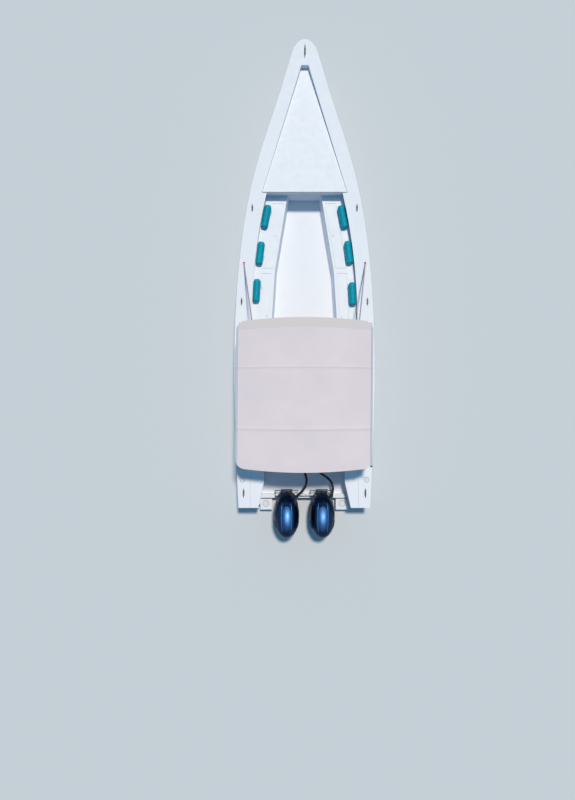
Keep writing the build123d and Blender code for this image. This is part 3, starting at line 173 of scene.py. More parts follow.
class Nodes:
    """A node tree, with short ways to add nodes."""

    def __init__(self, tree):
        self.tree = tree

    def join(self, value, socket):
        """A plain value, or another node's output, on a socket."""
        if isinstance(value, bpy.types.NodeSocket):
            self.tree.links.new(value, socket)
        elif hasattr(value, "__len__") and len(value) == 3 and len(socket.default_value) == 4:
            socket.default_value = (*value, 1.0)
        else:
            socket.default_value = value

    def node(self, kind, output, inputs, **settings):
        """The output of a new node with these settings and inputs."""
        node = self.tree.nodes.new("ShaderNode" + kind)
        for name, setting in settings.items():
            setattr(node, name, setting)
        for name, value in inputs.items():
            self.join(value, node.inputs[name])
        return node.outputs[output]

    def math(self, operation, a, b=0.0):
        return self.node("Math", 0, {0: a, 1: b}, operation=operation)

    def mix(self, share, first, second):
        """first turning into second as share goes from 0 to 1."""
        return self.node("Mix", 2, {0: share, 6: first, 7: second}, data_type="RGBA")


class Finish(Nodes):
    """A material, with short ways to give it grain, wear and relief."""

    def __init__(self, name, colour, roughness, metallic=0.0, coat=0.0, specular=0.5):
        self.material = bpy.data.materials.new(name)
        self.material.use_nodes = True
        self.material.diffuse_color = (*colour, 1.0)
        super().__init__(self.material.node_tree)
        self.shader = self.tree.nodes["Principled BSDF"]
        self.coordinates = self.tree.nodes.new("ShaderNodeTexCoord").outputs
        self.colour = colour
        self.set("Base Color", colour)
        self.set("Roughness", roughness)
        self.set("Metallic", metallic)
        self.set("Coat Weight", coat)
        self.set("Specular IOR Level", specular)

    def set(self, socket, value):
        """A value or link on one of the shader's sockets."""
        self.join(value, self.shader.inputs[socket])

    def place(self, source, stretch=(1, 1, 1), turn=0.0):
        """Coordinates in metres, stretched, and turned by an angle in degrees."""
        turned = (0, 0, math.radians(turn))
        inputs = {"Vector": self.coordinates[source], "Scale": stretch, "Rotation": turned}
        return self.node("Mapping", "Vector", inputs)

    def axis(self, index, source="Object"):
        """One of the three coordinates."""
        return self.node("SeparateXYZ", index, {0: self.coordinates[source]})

    def noise(self, scale, detail, stretch=(1, 1, 1), source="Object", rough=0.5):
        place = self.place(source, stretch)
        return self.node(
            "TexNoise", "Fac", {"Vector": place, "Scale": scale, "Detail": detail, "Roughness": rough}
        )

    def cells(self, scale):
        return self.node("TexVoronoi", "Distance", {"Vector": self.place("Object"), "Scale": scale})

    def waves(self, scale, directions, turns, source):
        """Two crossed sets of waves."""
        places = [self.place(source, turn=turn) for turn in turns]
        one, two = (
            self.node("TexWave", "Fac", {"Vector": place, "Scale": scale}, bands_direction=way)
            for way, place in zip(directions, places)
        )
        return self.math("MULTIPLY", one, two)

    def spread(self, value, low, high, to_low=0.0, to_high=1.0):
        """value between low and high, as to_low to to_high."""
        inputs = {"Value": value, "From Min": low, "From Max": high, "To Min": to_low, "To Max": to_high}
        return self.node("MapRange", "Result", inputs, interpolation_type="SMOOTHSTEP")

    def patches(self, scale, detail, low, high, to_low, to_high, **placed):
        """Noise between low and high, as to_low to to_high."""
        return self.spread(self.noise(scale, detail, **placed), low, high, to_low, to_high)

    def wear(self, share, shade, lift=0.0):
        """Base colour that is worn to a shade of itself, as share goes from 0 to 1."""
        self.set("Base Color", self.mix(share, self.colour, shaded(self.colour, shade, lift)))

    def bump(self, height, depth, strength=1.0, after=None):
        """Relief of a depth in metres, on top of another."""
        inputs = {"Strength": strength, "Distance": depth, "Height": height}
        if after is not None:
            inputs["Normal"] = after
        return self.node("Bump", "Normal", inputs)

    def relief(self, *bump):
        self.set("Normal", self.bump(*bump))


def gelcoat(name, colour, roughness):
    """Moulded surface with orange peel, faint blotches and polish marks."""
    finish = Finish(name, colour, roughness, specular=0.25)
    finish.wear(finish.patches(2.6, 4.0, 0.35, 0.75, 0.0, 0.45), (0.965, 0.975, 0.99))
    finish.set("Roughness", finish.patches(9.0, 5.0, 0.3, 0.75, roughness * 0.92, roughness * 1.12))
    finish.relief(finish.noise(160.0, 2.0), 0.0002, 0.35)
    return finish


def hull_gelcoat(name, colour):
    """Gelcoat of the topsides: a tide mark over the waterline and thin run-off streaks."""
    finish = gelcoat(name, colour, 0.16)
    height = finish.axis(2)
    edge = finish.math("ADD", height, finish.patches(1.7, 4.0, 0.3, 0.7, -0.02, 0.02))
    wet = finish.math(
        "MULTIPLY", finish.spread(edge, 0.02, 0.07, 1.0, 0.0), finish.spread(edge, -0.30, -0.02, 0.55, 1.0)
    )
    runs = finish.patches(14.0, 3.0, 0.60, 0.80, 0.0, 0.22, stretch=(1, 1, 0.06))
    runs = finish.math("MULTIPLY", runs, finish.spread(height, 0.15, 0.95, 1.0, 0.2))
    streaked = finish.mix(runs, colour, shaded(colour, (0.80, 0.80, 0.76)))
    marked = finish.mix(finish.math("MULTIPLY", wet, 0.42), streaked, tone(150, 158, 138))
    below = finish.spread(height, -0.10, -0.02, 0.55, 0.0)
    finish.set("Base Color", finish.mix(below, marked, tone(120, 132, 118)))
    return finish


def non_skid(name, colour):
    """Moulded deck with a fine raised diamond grip pattern and a little trodden-in dirt."""
    finish = Finish(name, colour, 0.60, specular=0.18)
    finish.relief(finish.waves(38.0, "XX", (45, -45), "Object"), 0.0008, 0.5)
    finish.wear(finish.patches(1.9, 6.0, 0.45, 0.80, 0.0, 0.3, rough=0.65), (0.93, 0.945, 0.96))
    finish.set("Roughness", finish.patches(7.0, 4.0, 0.3, 0.7, 0.55, 0.68))
    return finish


def polished_steel(name, colour, roughness, grain):
    """Stainless tube or casting, drawn along one axis, with small scratches and stains."""
    finish = Finish(name, colour, roughness, metallic=1.0)
    lines = finish.noise(30.0, 4.0, grain)
    finish.set("Roughness", finish.spread(lines, 0.3, 0.7, roughness * 0.7, roughness * 1.5))
    finish.relief(lines, 0.00012, 0.3)
    finish.wear(finish.patches(11.0, 5.0, 0.55, 0.78, 0.0, 0.35), (0.78, 0.74, 0.68))
    return finish


def vinyl(name, colour):
    """Marine vinyl: leather grain, soft creases and a faded top."""
    finish = Finish(name, colour, 0.52, specular=0.12)
    creases = finish.noise(34.0, 5.0, rough=0.6)
    finish.relief(creases, 0.0009, 0.35, finish.bump(finish.cells(420.0), 0.00025, 0.35))
    finish.wear(finish.patches(5.0, 4.0, 0.35, 0.75, 0.0, 0.6), (1.2, 1.05, 1.03), 0.004)
    finish.set("Roughness", finish.spread(creases, 0.3, 0.7, 0.44, 0.60))
    return finish


def canvas(name, colour, band, hem):
    """Woven awning cloth on its flat UV map: weave, patches, darker front band and hem lines."""
    finish = Finish(name, colour, 0.88, specular=0.15)
    weave = finish.bump(finish.waves(300.0, "XY", (0, 0), "UV"), 0.0004, 0.5)
    finish.relief(finish.noise(2.2, 4.0, (1, 2.2, 1), "UV"), 0.006, 0.35, weave)
    patch = finish.patches(1.1, 5.0, 0.3, 0.75, 0.0, 0.75, source="UV", rough=0.6)
    cloth = finish.mix(patch, colour, shaded(colour, (0.90, 0.915, 0.95)))
    flecks = finish.patches(55.0, 3.0, 0.62, 0.78, 0.0, 0.35, source="UV")
    cloth = finish.mix(flecks, cloth, shaded(colour, 0.90))
    cloth = finish.mix(finish.spread(finish.axis(1, "UV"), band[0], band[0] + 0.006), cloth, band[1])
    across = finish.math("ABSOLUTE", finish.axis(0, "UV"))
    cloth = finish.mix(finish.spread(across, hem[0], hem[0] + 0.004, 0.0, 0.75), cloth, hem[1])
    finish.set("Base Color", cloth)
    finish.set("Sheen Weight", 0.15)
    return finish


def metallic_paint(name, colour):
    """Deep metallic lacquer with fine flakes, and painted shade that darkens it towards the cowl's sides and
    ends. The panel on top is shaded as the crowned one it is.
    """
    finish = Finish(name, colour, 0.30, metallic=0.80, coat=0.26, specular=0.4)
    finish.set("Coat Roughness", 0.30)
    finish.set("Specular Tint", (0.10, 0.24, 0.45, 1.0))
    size = finish.math("ABSOLUTE", finish.math("SUBTRACT", finish.math("ABSOLUTE", finish.axis(0)), MOTOR_X))
    along = finish.math("SUBTRACT", finish.axis(1), COWL_WIDEST_Y)
    crown, arc = (
        finish.math("MULTIPLY", finish.math("POWER", off, 2.0), depth)
        for off, depth in ((size, -0.95), (finish.math("ABSOLUTE", along), -0.34))
    )
    slope = finish.math("ADD", arc, finish.math("MULTIPLY", along, -0.19))
    crowned = finish.bump(finish.math("ADD", crown, slope), 1.0)
    finish.set("Coat Normal", crowned)
    finish.relief(finish.noise(900.0, 1.0), 0.00004, 0.25, crowned)
    # Painted shade: the lacquer's base colour darkens towards the cowl's sides and its front and rear ends.
    reach = finish.math("MULTIPLY", finish.math("ABSOLUTE", finish.math("ADD", along, -0.02)), 0.62)
    painted_side_shade = finish.spread(finish.math("MAXIMUM", size, reach), 0.10, 0.23, 0.0, 0.85)
    flakes = finish.patches(1500.0, 1.0, 0.62, 0.80, 0.0, 0.35)
    lacquer = finish.mix(painted_side_shade, colour, shaded(colour, 0.3))
    finish.set("Base Color", finish.mix(flakes, lacquer, shaded(colour, 1.9, 0.01)))
    finish.set("Roughness", finish.patches(7.0, 5.0, 0.3, 0.7, 0.25, 0.36))
    return finish


def cast_paint(name, colour, roughness, metallic):
    """Painted casting with a slightly pebbled surface and rubbed spots."""
    finish = Finish(name, colour, roughness, metallic=metallic)
    finish.relief(finish.noise(240.0, 3.0), 0.0003, 0.4)
    finish.wear(finish.patches(22.0, 6.0, 0.60, 0.80, 0.0, 0.55, rough=0.62), 1.8, 0.02)
    finish.set("Roughness", finish.patches(14.0, 4.0, 0.3, 0.7, roughness * 0.75, roughness * 1.35))
    return finish


def rubber(name, colour, roughness=0.6):
    """Black rubber or plastic with a dusty bloom."""
    finish = Finish(name, colour, roughness, specular=0.35)
    finish.wear(finish.patches(18.0, 5.0, 0.5, 0.8, 0.0, 0.5), 1.6, 0.012)
    finish.relief(finish.noise(320.0, 2.0), 0.0002, 0.4)
    return finish


def clear_sheet(name):
    """Clear acrylic with a faint tint and wipe marks."""
    finish = Finish(name, (0.88, 0.95, 0.97), 0.04)
    finish.set("Transmission Weight", 0.92)
    finish.set("IOR", 1.45)
    finish.set("Roughness", finish.patches(6.0, 5.0, 0.4, 0.75, 0.02, 0.12, stretch=(1, 1, 4)))
    return finish


def clear_black(name):
    """Dark glass over an unlit display, with finger marks."""
    finish = Finish(name, tone(14, 18, 24), 0.08, coat=0.6)
    finish.set("Roughness", finish.patches(30.0, 4.0, 0.45, 0.7, 0.06, 0.22))
    return finish


# Screen colour, then roughness and metallic of the cast paints, and roughness of the rubbers.
PAINTS = {
    "leg_tube": ("leg_tube_paint", (176, 160, 170), 0.42, 0.3),
    "hinge": ("hinge_paint", (186, 192, 200), 0.5, 0.0),
    "plate": ("plate_paint", (205, 212, 220), 0.45, 0.1),
    "anode": ("anode_metal", (150, 152, 154), 0.7, 0.5),
    "dial": ("dial_face", (214, 216, 214), 0.5, 0.0),
    "cleat": ("cleat_paint", (24, 27, 32), 0.40, 0.4),
    # The ridges' paler blue is a painted highlight along the raised ridges on the cowl's top.
    "ridge": ("cowl_ridge", (58, 118, 170), 0.30, 0.5),
    "trim": ("cowl_trim", (46, 68, 94), 0.42, 0.1),
    "pan": ("lower_cowl_paint", (24, 40, 62), 0.38, 0.3),
    "leg": ("leg_paint", (28, 44, 66), 0.36, 0.4),
    "bracket": ("bracket_paint", (44, 54, 68), 0.45, 0.4),
    "block": ("engine_block", (96, 98, 102), 0.6, 0.6),
}
RUBBERS = {
    "strake": ("strake_vinyl", (168, 178, 190), 0.45),
    "rubber": ("hose_rubber", (9, 11, 16)),
    "seam": ("seam_rubber", (66, 80, 98)),
    "black": ("helm_plastic", (34, 36, 40), 0.5),
}
FINISHES = {}


def make_finishes():
    """Every finish on the boat but the awning cloth's, once."""
    look = bpy.context.scene.boat_look
    shell, teal = tuple(look.gelcoat_colour), tuple(look.cushion_colour)
    for maker, rows in ((cast_paint, PAINTS), (rubber, RUBBERS)):
        for key, (name, screen, *values) in rows.items():
            FINISHES[key] = maker(name, tone(*screen), *values)
    FINISHES.update(
        hull=hull_gelcoat("hull_gelcoat", shell),
        deck=gelcoat("deck_gelcoat", shell, 0.48),
        sole=non_skid("sole_non_skid", tuple(look.sole_colour)),
        tube=polished_steel("awning_tube", tone(214, 212, 216), 0.28, (1, 60, 60)),
        fitting=polished_steel("fitting_steel", tone(168, 174, 182), 0.38, (60, 1, 60)),
        prop=polished_steel("propeller_steel", tone(190, 192, 196), 0.20, (20, 60, 20)),
        vinyl=vinyl("teal_vinyl", teal),
        piping=vinyl("teal_piping", shaded(teal, 0.7)),
        cowl=metallic_paint("cowl_lacquer", tuple(look.cowl_colour)),
        screen=clear_black("display_glass"),
        clear=clear_sheet("clear_acrylic"),
    )


# Pieces.


def add(name, data):
    """A new object in the scene."""
    obj = bpy.data.objects.new(name, data)
    bpy.context.scene.collection.objects.link(obj)
    return obj


def as_mesh(bm, name):
    """A new mesh from a bmesh, which is freed."""
    mesh = bpy.data.meshes.new(name)
    bm.to_mesh(mesh)
    bm.free()
    return mesh


def evaluated(obj):
    """A new mesh of what an object's curve or modifiers give."""
    return bpy.data.meshes.new_from_object(obj.evaluated_get(bpy.context.evaluated_depsgraph_get()))


def merge(mesh, into):
    """A mesh moved into a bmesh."""
    into.from_mesh(mesh)
    bpy.data.meshes.remove(mesh)
    return into


def collect(bm, into):
    """bm by itself, or added to another bmesh."""
    return bm if into is None else merge(as_mesh(bm, "scratch"), into)


def only(kind, geometry):
    """The vertices or edges among some geometry."""
    return [g for g in geometry if isinstance(g, kind)]


def cut(bm, place, normal, **settings):
    """Cuts a bmesh along a plane, and gives the new geometry."""
    geom = bm.verts[:] + bm.edges[:] + bm.faces[:]
    return bmesh.ops.bisect_plane(bm, geom=geom, plane_co=place, plane_no=normal, **settings)["geom_cut"]


def move(bm, matrix):
    bmesh.ops.transform(bm, matrix=matrix, verts=bm.verts[:])


def bevel(bm, geom, offset, segments, affect="EDGES"):
    bmesh.ops.bevel(
        bm, geom=geom, offset=offset, segments=segments, affect=affect, profile=0.5, material=-1
    )


def piece(name, shape, finish, body="boat", replaces=(), sharp=35.0):
    """A new object from a bmesh or a mesh, in place, with its finish, that rides on a body."""
    if isinstance(shape, bmesh.types.BMesh):
        for face in shape.faces:
            face.smooth = True
        for edge in shape.edges:
            if len(edge.link_faces) == 2:
                edge.smooth = edge.calc_face_angle(0.0) < math.radians(sharp)
        shape = as_mesh(shape, name)
    shape.name = name
    shape.materials.clear()
    shape.materials.append(FINISHES[finish].material)
    obj = add(name, shape)
    if body:
        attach(obj, body)
    if replaces:
        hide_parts(*replaces)
    return obj


def dress(finish, *nodes):
    """A finish on CAD nodes that stay."""
    for node in nodes:
        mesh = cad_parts[node].data
        mesh.materials.clear()
        mesh.materials.append(FINISHES[finish].material)
        for polygon in mesh.polygons:
            polygon.material_index = 0


def rounded_box(size, radius, segments=3, at=(0, 0, 0), turn=Matrix.Identity(3), into=None):
    """A box with rounded edges, about a point."""
    bm = bmesh.new()
    bmesh.ops.create_cube(bm, size=1.0, matrix=Matrix.Diagonal((*size, 1.0)))
    bevel(bm, bm.edges[:], radius, segments)
    move(bm, Matrix.Translation(at) @ turn.to_4x4())
    return collect(bm, into)


def disc(radius, thickness, at, axis=UP, segments=32, rim=0.0, into=None, top=None):
    """A round plate or pin that starts at a point and runs along an axis."""
    bm = bmesh.new()
    bmesh.ops.create_cone(
        bm, cap_ends=True, segments=segments, radius1=radius, radius2=radius if top is None else top,
        depth=thickness,
    )
    if rim:
        rims = [e for e in bm.edges if len({abs(f.normal.z) > 0.5 for f in e.link_faces}) == 2]
        bevel(bm, rims, rim, 2)
    spin = Vector(UP).rotation_difference(Vector(axis))
    middle = Vector(at) + Vector(axis).normalized() * thickness / 2
    move(bm, Matrix.Translation(middle) @ spin.to_matrix().to_4x4())
    return collect(bm, into)


def surface(*nodes):
    """The skin of some CAD nodes, for finding places on it."""
    points, faces = [], []
    for node in nodes:
        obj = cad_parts[node]
        start = len(points)
        points += [obj.matrix_world @ v.co for v in obj.data.vertices]
        faces += [[start + i for i in p.vertices] for p in obj.data.polygons]
    return BVHTree.FromPolygons(points, faces)


def node_points(node):
    """The vertices of a CAD node, one in each row."""
    return np.array([v.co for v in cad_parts[node].data.vertices])


def touch(skin, start, way):
    """Where a line from start along way first meets a skin, and the way out of it there."""
    place, normal, _, _ = skin.ray_cast(Vector(start), Vector(way).normalized())
    if place is None:
        raise RuntimeError(f"nothing along {tuple(way)} from {tuple(start)}")
    return place, normal if normal.dot(Vector(way)) < 0 else -normal


def traced(skin, starts, way, lift=0.0):
    """Points on a skin under a row of starts, raised from it by lift."""
    return [place + normal * lift for place, normal in (touch(skin, start, way) for start in starts)]


def ring(middle, axis, radius, count=40):
    """Points on a circle about an axis."""
    spin = Vector(UP).rotation_difference(Vector(axis))
    turns = [2 * math.pi * n / count for n in range(count)]
    return [Vector(middle) + spin @ Vector((math.cos(a), math.sin(a), 0)) * radius for a in turns]


def steps(low, high, count):
    """Evenly spaced numbers from low to high."""
    return [low + (high - low) * n / (count - 1) for n in range(count)]


def runs_along(points):
    """The length along a row of points, up to each of them."""
    runs = [0.0]
    for before, after in zip(points, points[1:]):
        runs.append(runs[-1] + (after - before).length)
    return runs


def bolts(skin, starts, way, radius, height, into=None):
    """Six-sided bolt heads on washers, where lines from the starts meet a skin."""
    for start in starts:
        place, normal = touch(skin, start, way)
        into = disc(radius * 1.7, height * 0.3, place, normal, 20, into=into)
        into = disc(radius, height, place + normal * height * 0.25, normal, 6, radius * 0.12, into)
    return into


def nurbs_mesh(name, points, closed, **settings):
    """The mesh of a smooth curve that some points control."""
    curve = bpy.data.curves.new(name, "CURVE")
    curve.dimensions = "3D"
    for setting, value in settings.items():
        setattr(curve, setting, value)
    spline = curve.splines.new("NURBS")
    spline.points.add(len(points) - 1)
    for point, place in zip(spline.points, points):
        point.co = (*place, 1.0)
    spline.order_u = 3
    setattr(spline, "use_cyclic_u" if closed else "use_endpoint_u", True)
    obj = add(name, curve)
    mesh = evaluated(obj)
    bpy.data.objects.remove(obj)
    bpy.data.curves.remove(curve)
    return mesh


def spline_points(route):
    """Points along the smooth line that a route controls."""
    mesh = nurbs_mesh("route", route, False, resolution_u=30)
    points = [v.co.copy() for v in mesh.vertices]
    bpy.data.meshes.remove(mesh)
    return points


def piping_along(loop, radius, spacing=0.012):
    """A thin closed tube along an outline."""
    kept = [loop[0]]
    for point in loop[1:]:
        if (point - kept[-1]).length >= spacing:
            kept.append(point)
    return nurbs_mesh("piping", kept, True, bevel_depth=radius, bevel_resolution=2, resolution_u=2)


def sweep(points, radius, sides=16, first=0, last=None, taper=0.0, into=None):
    """A round tube along points. radius is a number, or gives one for the length run so far.

    With a taper, the tube thins out over that length at each end.
    """
    last = len(points) - 1 if last is None else last
    ends, runs = [points[0], *points, points[-1]], runs_along(points)
    tangents = [(after - before).normalized() for before, after in zip(ends, ends[2:])]
    side, rings = tangents[0].orthogonal().normalized(), []
    for i, (point, tangent, run) in enumerate(zip(points, tangents, runs)):
        if i:
            side = tangents[i - 1].rotation_difference(tangent) @ side
        size = radius(run) if callable(radius) else radius
        if taper:
            size *= max(THINNEST, min(1.0, run / taper, (runs[-1] - run) / taper))
        rings.append((point, tangent, side.copy(), size))
    bm = bmesh.new()
    verts = bmesh.ops.create_circle(bm, segments=sides, radius=1.0)["verts"]
    edges = first_edges = bm.edges[:]
    circle = [v.co.copy() for v in verts]

    def lay(ring):
        point, tangent, across, size = ring
        turn = Matrix((across, tangent.cross(across), tangent)).transposed()
        for vert, place in zip(verts, circle):
            vert.co = point + turn @ (place * size)

    lay(rings[first])
    for ring in rings[first + 1 : last + 1]:
        made = bmesh.ops.extrude_edge_only(bm, edges=edges)["geom"]
        fresh = set(only(bmesh.types.BMVert, made))
        verts = [next(e.other_vert(v) for e in v.link_edges if e.other_vert(v) in fresh) for v in verts]
        edges = only(bmesh.types.BMEdge, made)
        lay(ring)
    bmesh.ops.edgeloop_fill(bm, edges=first_edges)
    bmesh.ops.edgeloop_fill(bm, edges=edges)
    bmesh.ops.recalc_face_normals(bm, faces=bm.faces[:])
    return collect(bm, into)


# Settings.


def tint(name, description, *screen):
    """A colour that can be set."""
    return FloatVectorProperty(
        name=name, description=description, subtype="COLOR", default=tone(*screen), min=0.0, max=1.0
    )


def metres(name, description, default, low, high):
    """A length in metres that can be set."""
    return FloatProperty(
        name=name, description=description, subtype="DISTANCE", unit="LENGTH", default=default,
        min=low, max=high,
    )


class BoatLook(bpy.types.PropertyGroup):
    """Colours of the boat."""

    gelcoat_colour: tint("Gelcoat", "Colour of the hull, decks and benches", 230, 236, 244)
    sole_colour: tint("Cockpit floor", "Colour of the non-skid cockpit floor", 234, 238, 245)
    cushion_colour: tint("Cushions", "Colour of the vinyl bolsters and helm seat", 0, 152, 176)
    cloth_colour: tint("Awning cloth", "Colour of the woven awning", 231, 220, 223)
    cowl_colour: tint("Motor cowls", "Colour of the motors' lacquered cowls", 10, 54, 98)


class AwningSizes(bpy.types.PropertyGroup):
    """Sizes of the awning cloth."""

    sag: metres("Sag", "How far the cloth drops between two bows", 0.012, 0.0, 0.05)
    shift: metres("Shift", "How far the cloth hangs over to port, most of it aft", 0.030, 0.0, 0.04)
    band: metres("Front band", "Depth of the darker band along the front edge", 0.18, 0.0, 0.5)
    hem: metres("Hem", "Width of the sewn hem along the sides", 0.035, 0.005, 0.1)


class CushionSizes(bpy.types.PropertyGroup):
    """Sizes of the cushions' padding."""

    puff: metres("Puff", "Most that the filled cover may swell", 0.012, 0.0, 0.03)
    piping: metres("Piping", "Radius of the piping in the seams", 0.0035, 0.001, 0.01)


class StageSizes(bpy.types.PropertyGroup):
    """Light and floor."""

    sun: FloatProperty(
        name="Key light", description="Strength of the key light", default=2.7, min=0.0, max=10.0,
    )
    sky: FloatProperty(
        name="Fill light", description="Strength of the light from all round", default=0.34,
        min=0.0, max=2.0,
    )
    floor_size: metres("Floor", "Side of the square floor at the waterline", 160.0, 20.0, 500.0)


class BOAT_OT_stage(bpy.types.Operator):
    """Camera over the boat, a pale floor at the waterline and soft light"""

    bl_idname = "boat.stage"
    bl_label = "Stage"

    def execute(self, context):
        sizes = context.scene.boat_stage
        camera = add("camera", bpy.data.cameras.new("camera"))
        camera.data.lens = CAMERA_LENS
        camera.data.clip_end = 500
        camera.location = CAMERA_PLACE
        context.scene.camera = camera

        lamp = add("key", bpy.data.lights.new("key", "SUN"))
        lamp.data.energy = sizes.sun
        lamp.data.angle = math.radians(SUN_WIDTH)
        lamp.data.color = SUN_COLOUR
        lamp.rotation_euler = [math.radians(angle) for angle in SUN_TURN]

        bm = bmesh.new()
        bmesh.ops.create_grid(bm, x_segments=1, y_segments=1, size=sizes.floor_size / 2)
        floor = add("floor", as_mesh(bm, "floor"))
        pale = Finish("floor_pale", tone(206, 212, 216), 0.9, specular=0.1)
        floor.data.materials.append(pale.material)

        # The camera and shiny surfaces see a paler sky than the one that lights the boat.
        world = bpy.data.worlds.new("studio")
        world.use_nodes = True
        nodes = Nodes(world.node_tree)
        path = nodes.tree.nodes.new("ShaderNodeLightPath").outputs
        shiny = nodes.math("MAXIMUM", path["Is Glossy Ray"], path["Is Transmission Ray"])
        seen = nodes.math("MAXIMUM", path["Is Camera Ray"], shiny)
        colour = nodes.mix(seen, shaded(SKY_COLOUR, sizes.sky), SEEN_SKY_COLOUR)
        nodes.join(colour, nodes.tree.nodes["Background"].inputs["Color"])
        context.scene.world = world
        context.scene.view_settings.view_transform = "Standard"
        return {"FINISHED"}


class BOAT_OT_hoses(bpy.types.Operator):
    """Ribbed rigging hoses from the bulkhead to the motors, split where the tilting brackets hold them"""

    bl_idname = "boat.hoses"
    bl_label = "Control hoses"

    ribs: metres("Ribs", "Spacing of the hose's ribs", 0.011, 0.004, 0.05)

    def execute(self, context):
        for side, _ in SIDES:
            points = spline_points(HOSE_ROUTES[side])
            runs = runs_along(points)

            def ribbed(run):
                full = min(1.0, run / HOSE_END_LENGTH, (runs[-1] - run) / HOSE_END_LENGTH)
                radius = HOSE_END_RADIUS + (HOSE_RADIUS - HOSE_END_RADIUS) * full
                return radius * (1 - RIB_DEPTH * (0.5 + 0.5 * math.cos(2 * math.pi * run / self.ribs)))

            split = next(i for i, run in enumerate(runs) if run > HOSE_TAIL)
            # Each length's path runs from its fixed end to the collar.
            for part, first, last in (("tail", 0, split), ("run", split, len(points) - 1)):
                shape, path = sweep(points, ribbed, 18, first, last), points[first : last + 1]
                hose = piece(f"hose_{part}_{side}", shape, "rubber", None, sharp=60)
                if part == "run":
                    path.reverse()
                if part == "tail":
                    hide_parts(f"control_hose_{side}")
                    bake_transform(hose)
                else:
                    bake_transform(hose)
            here, ahead = points[split - 3], points[split + 3]
            start = here.lerp(ahead, 0.5) - (ahead - here).normalized() * COLLAR_LENGTH / 2
            collar = disc(HOSE_RADIUS + COLLAR_WALL, COLLAR_LENGTH, start, ahead - here, 28, 0.002)
            piece(f"hose_collar_{side}", collar, "black", f"tilt_{side}")
        dress("rubber", "hose_grommets")
        return {"FINISHED"}


def spray_strakes(reach):
    """Lifting strakes along the bottom, two on each side."""
    skin, rails = surface("hull", "fore_hull", "transom"), None
    ys, halves = zip(*CHINE)
    for share, last in ((0.42, 8.3), (0.74, 7.7)):
        for sign in SIGNS:
            across = sign * share
            places = [(across * float(np.interp(y, ys, halves)), y, -2.0) for y in steps(0.12, last, 56)]
            row = traced(skin, places, UP)
            rails = sweep(row, reach, 4, taper=0.5, into=rails)
    piece("spray_strakes", rails, "hull", sharp=30)


def dark_edge_strips():
    """Dark strips along the foredeck's aft lip, and where the stern steps meet the transom."""
    skin, row = surface("foredeck", "foredeck_surround", "side_decks"), []
    for x in steps(-0.93, 0.93, 63):
        hits = [skin.ray_cast(Vector((x, y, 2.0)), DOWN)[0] for y in (6.632, 6.610)]
        row.append(Vector((x, 6.614, max(hit.z for hit in hits if hit) - 0.001)))
    strips = sweep(row, 0.009, 10, taper=0.05)
    for sign in SIGNS:
        row = [Vector((sign * x, -0.007, 0.342)) for x in steps(0.716, 0.955, 8)]
        strips = sweep(row, 0.010, 10, into=strips)
    piece("seam_strips", strips, "seam")


class BOAT_OT_mouldings(bpy.types.Operator):
    """Finishes of the hull, decks, benches, lids and rubbing strake"""

    bl_idname = "boat.mouldings"
    bl_label = "Hull and deck mouldings"

    strake: metres("Spray strakes", "Reach of the lifting strakes from the bottom", 0.026, 0.005, 0.06)

    def execute(self, context):
        dress("hull", "hull", "fore_hull", "transom", "stern_pods")
        dress("deck", "foredeck_surround", "side_decks", "quarter_decks", "foredeck", "benches")
        dress("deck", "console", "helm_seat_base")
        dress("deck", "lid_fwd_port", "lid_fwd_stbd", "lid_aft_port", "lid_aft_stbd")
        dress("sole", "cockpit_sole")
        dress("strake", "rubbing_strake")
        spray_strakes(self.strake)
        dark_edge_strips()
        return {"FINISHED"}


def dark_rings():
    """Dark rings round the fuel caps and step plates, and the caps' grips."""
    rings, grips, plates = bmesh.new(), None, surface("deck_plates")
    for sign in SIGNS:
        for plate in (FUEL_CAP, STEP_PLATE):
            x, y, radius, thick = plate
            at, out = touch(plates, (sign * x, y, 1.5), DOWN)
            merge(piping_along(ring(at - out * 0.004, out, radius), thick, 0.004), rings)
            if plate is FUEL_CAP:
                grips = rounded_box((0.056, 0.012, 0.010), 0.003, 2, at + out * 0.004, into=grips)
    piece("plate_dark_rings", rings, "seam", sharp=180)
    piece("cap_grips", grips, "hinge")


def outlets():
    """Through-hull outlets on the topsides, and drain plugs in the transom."""
    rims, bores, skin = None, None, surface("hull", "transom")
    starts = [((sign * 3.0, y, OUTLET_HEIGHT), (-sign, 0, 0)) for sign in SIGNS for y in OUTLET_YS]
    starts += [((x, -2.0, DRAIN_HEIGHT), AHEAD) for x in DRAIN_XS]
    for start, way in starts:
        place, normal = touch(skin, start, way)
        rims = disc(0.026, 0.006, place - normal * 0.001, normal, 28, 0.002, rims)
        bores = disc(0.014, 0.003, place + normal * 0.004, normal, 20, into=bores)
    piece("outlet_rims", rims, "fitting")
    piece("outlet_bores", bores, "black")


def latches():
    """Flush ring latches near the inboard edge of the locker lids."""
    for lid, y in LATCH_YS:
        for side, sign in SIDES:
            body = f"lid_{lid}_{side}"
            skin = surface(body)
            inboard = next(
                x for x in steps(0.30, 1.10, 161) if skin.ray_cast(Vector((sign * x, y, 2)), DOWN)[0]
            )
            place, normal = touch(skin, (sign * (inboard + 0.055), y, 2.0), DOWN)
            latch = disc(0.024, 0.0025, place - normal * 0.0005, normal, 28, 0.0008)
            merge(piping_along(ring(place + normal * 0.0035, normal, 0.015, 24), 0.0022, 0.003), latch)
            piece(f"latch_{lid}_{side}", latch, "plate", body)


def cleat_screws():
    """Two screws through the foot of each cleat."""
    skin, heads, points = surface("cleats"), None, node_points("cleats")
    for x, y in CLEAT_PLACES:
        near = points[(abs(points[:, 0] - x) < 0.06) & (abs(points[:, 1] - y) < 0.16)]
        reach = (near[:, 1].max() - near[:, 1].min()) * 0.16
        for along in (-reach, reach):
            hit = skin.ray_cast(Vector((x, y + along, 3)), DOWN)
            if hit[0]:
                heads = disc(0.006, 0.003, hit[0], UP, 16, 0.001, heads)
    piece("cleat_screws", heads, "fitting")


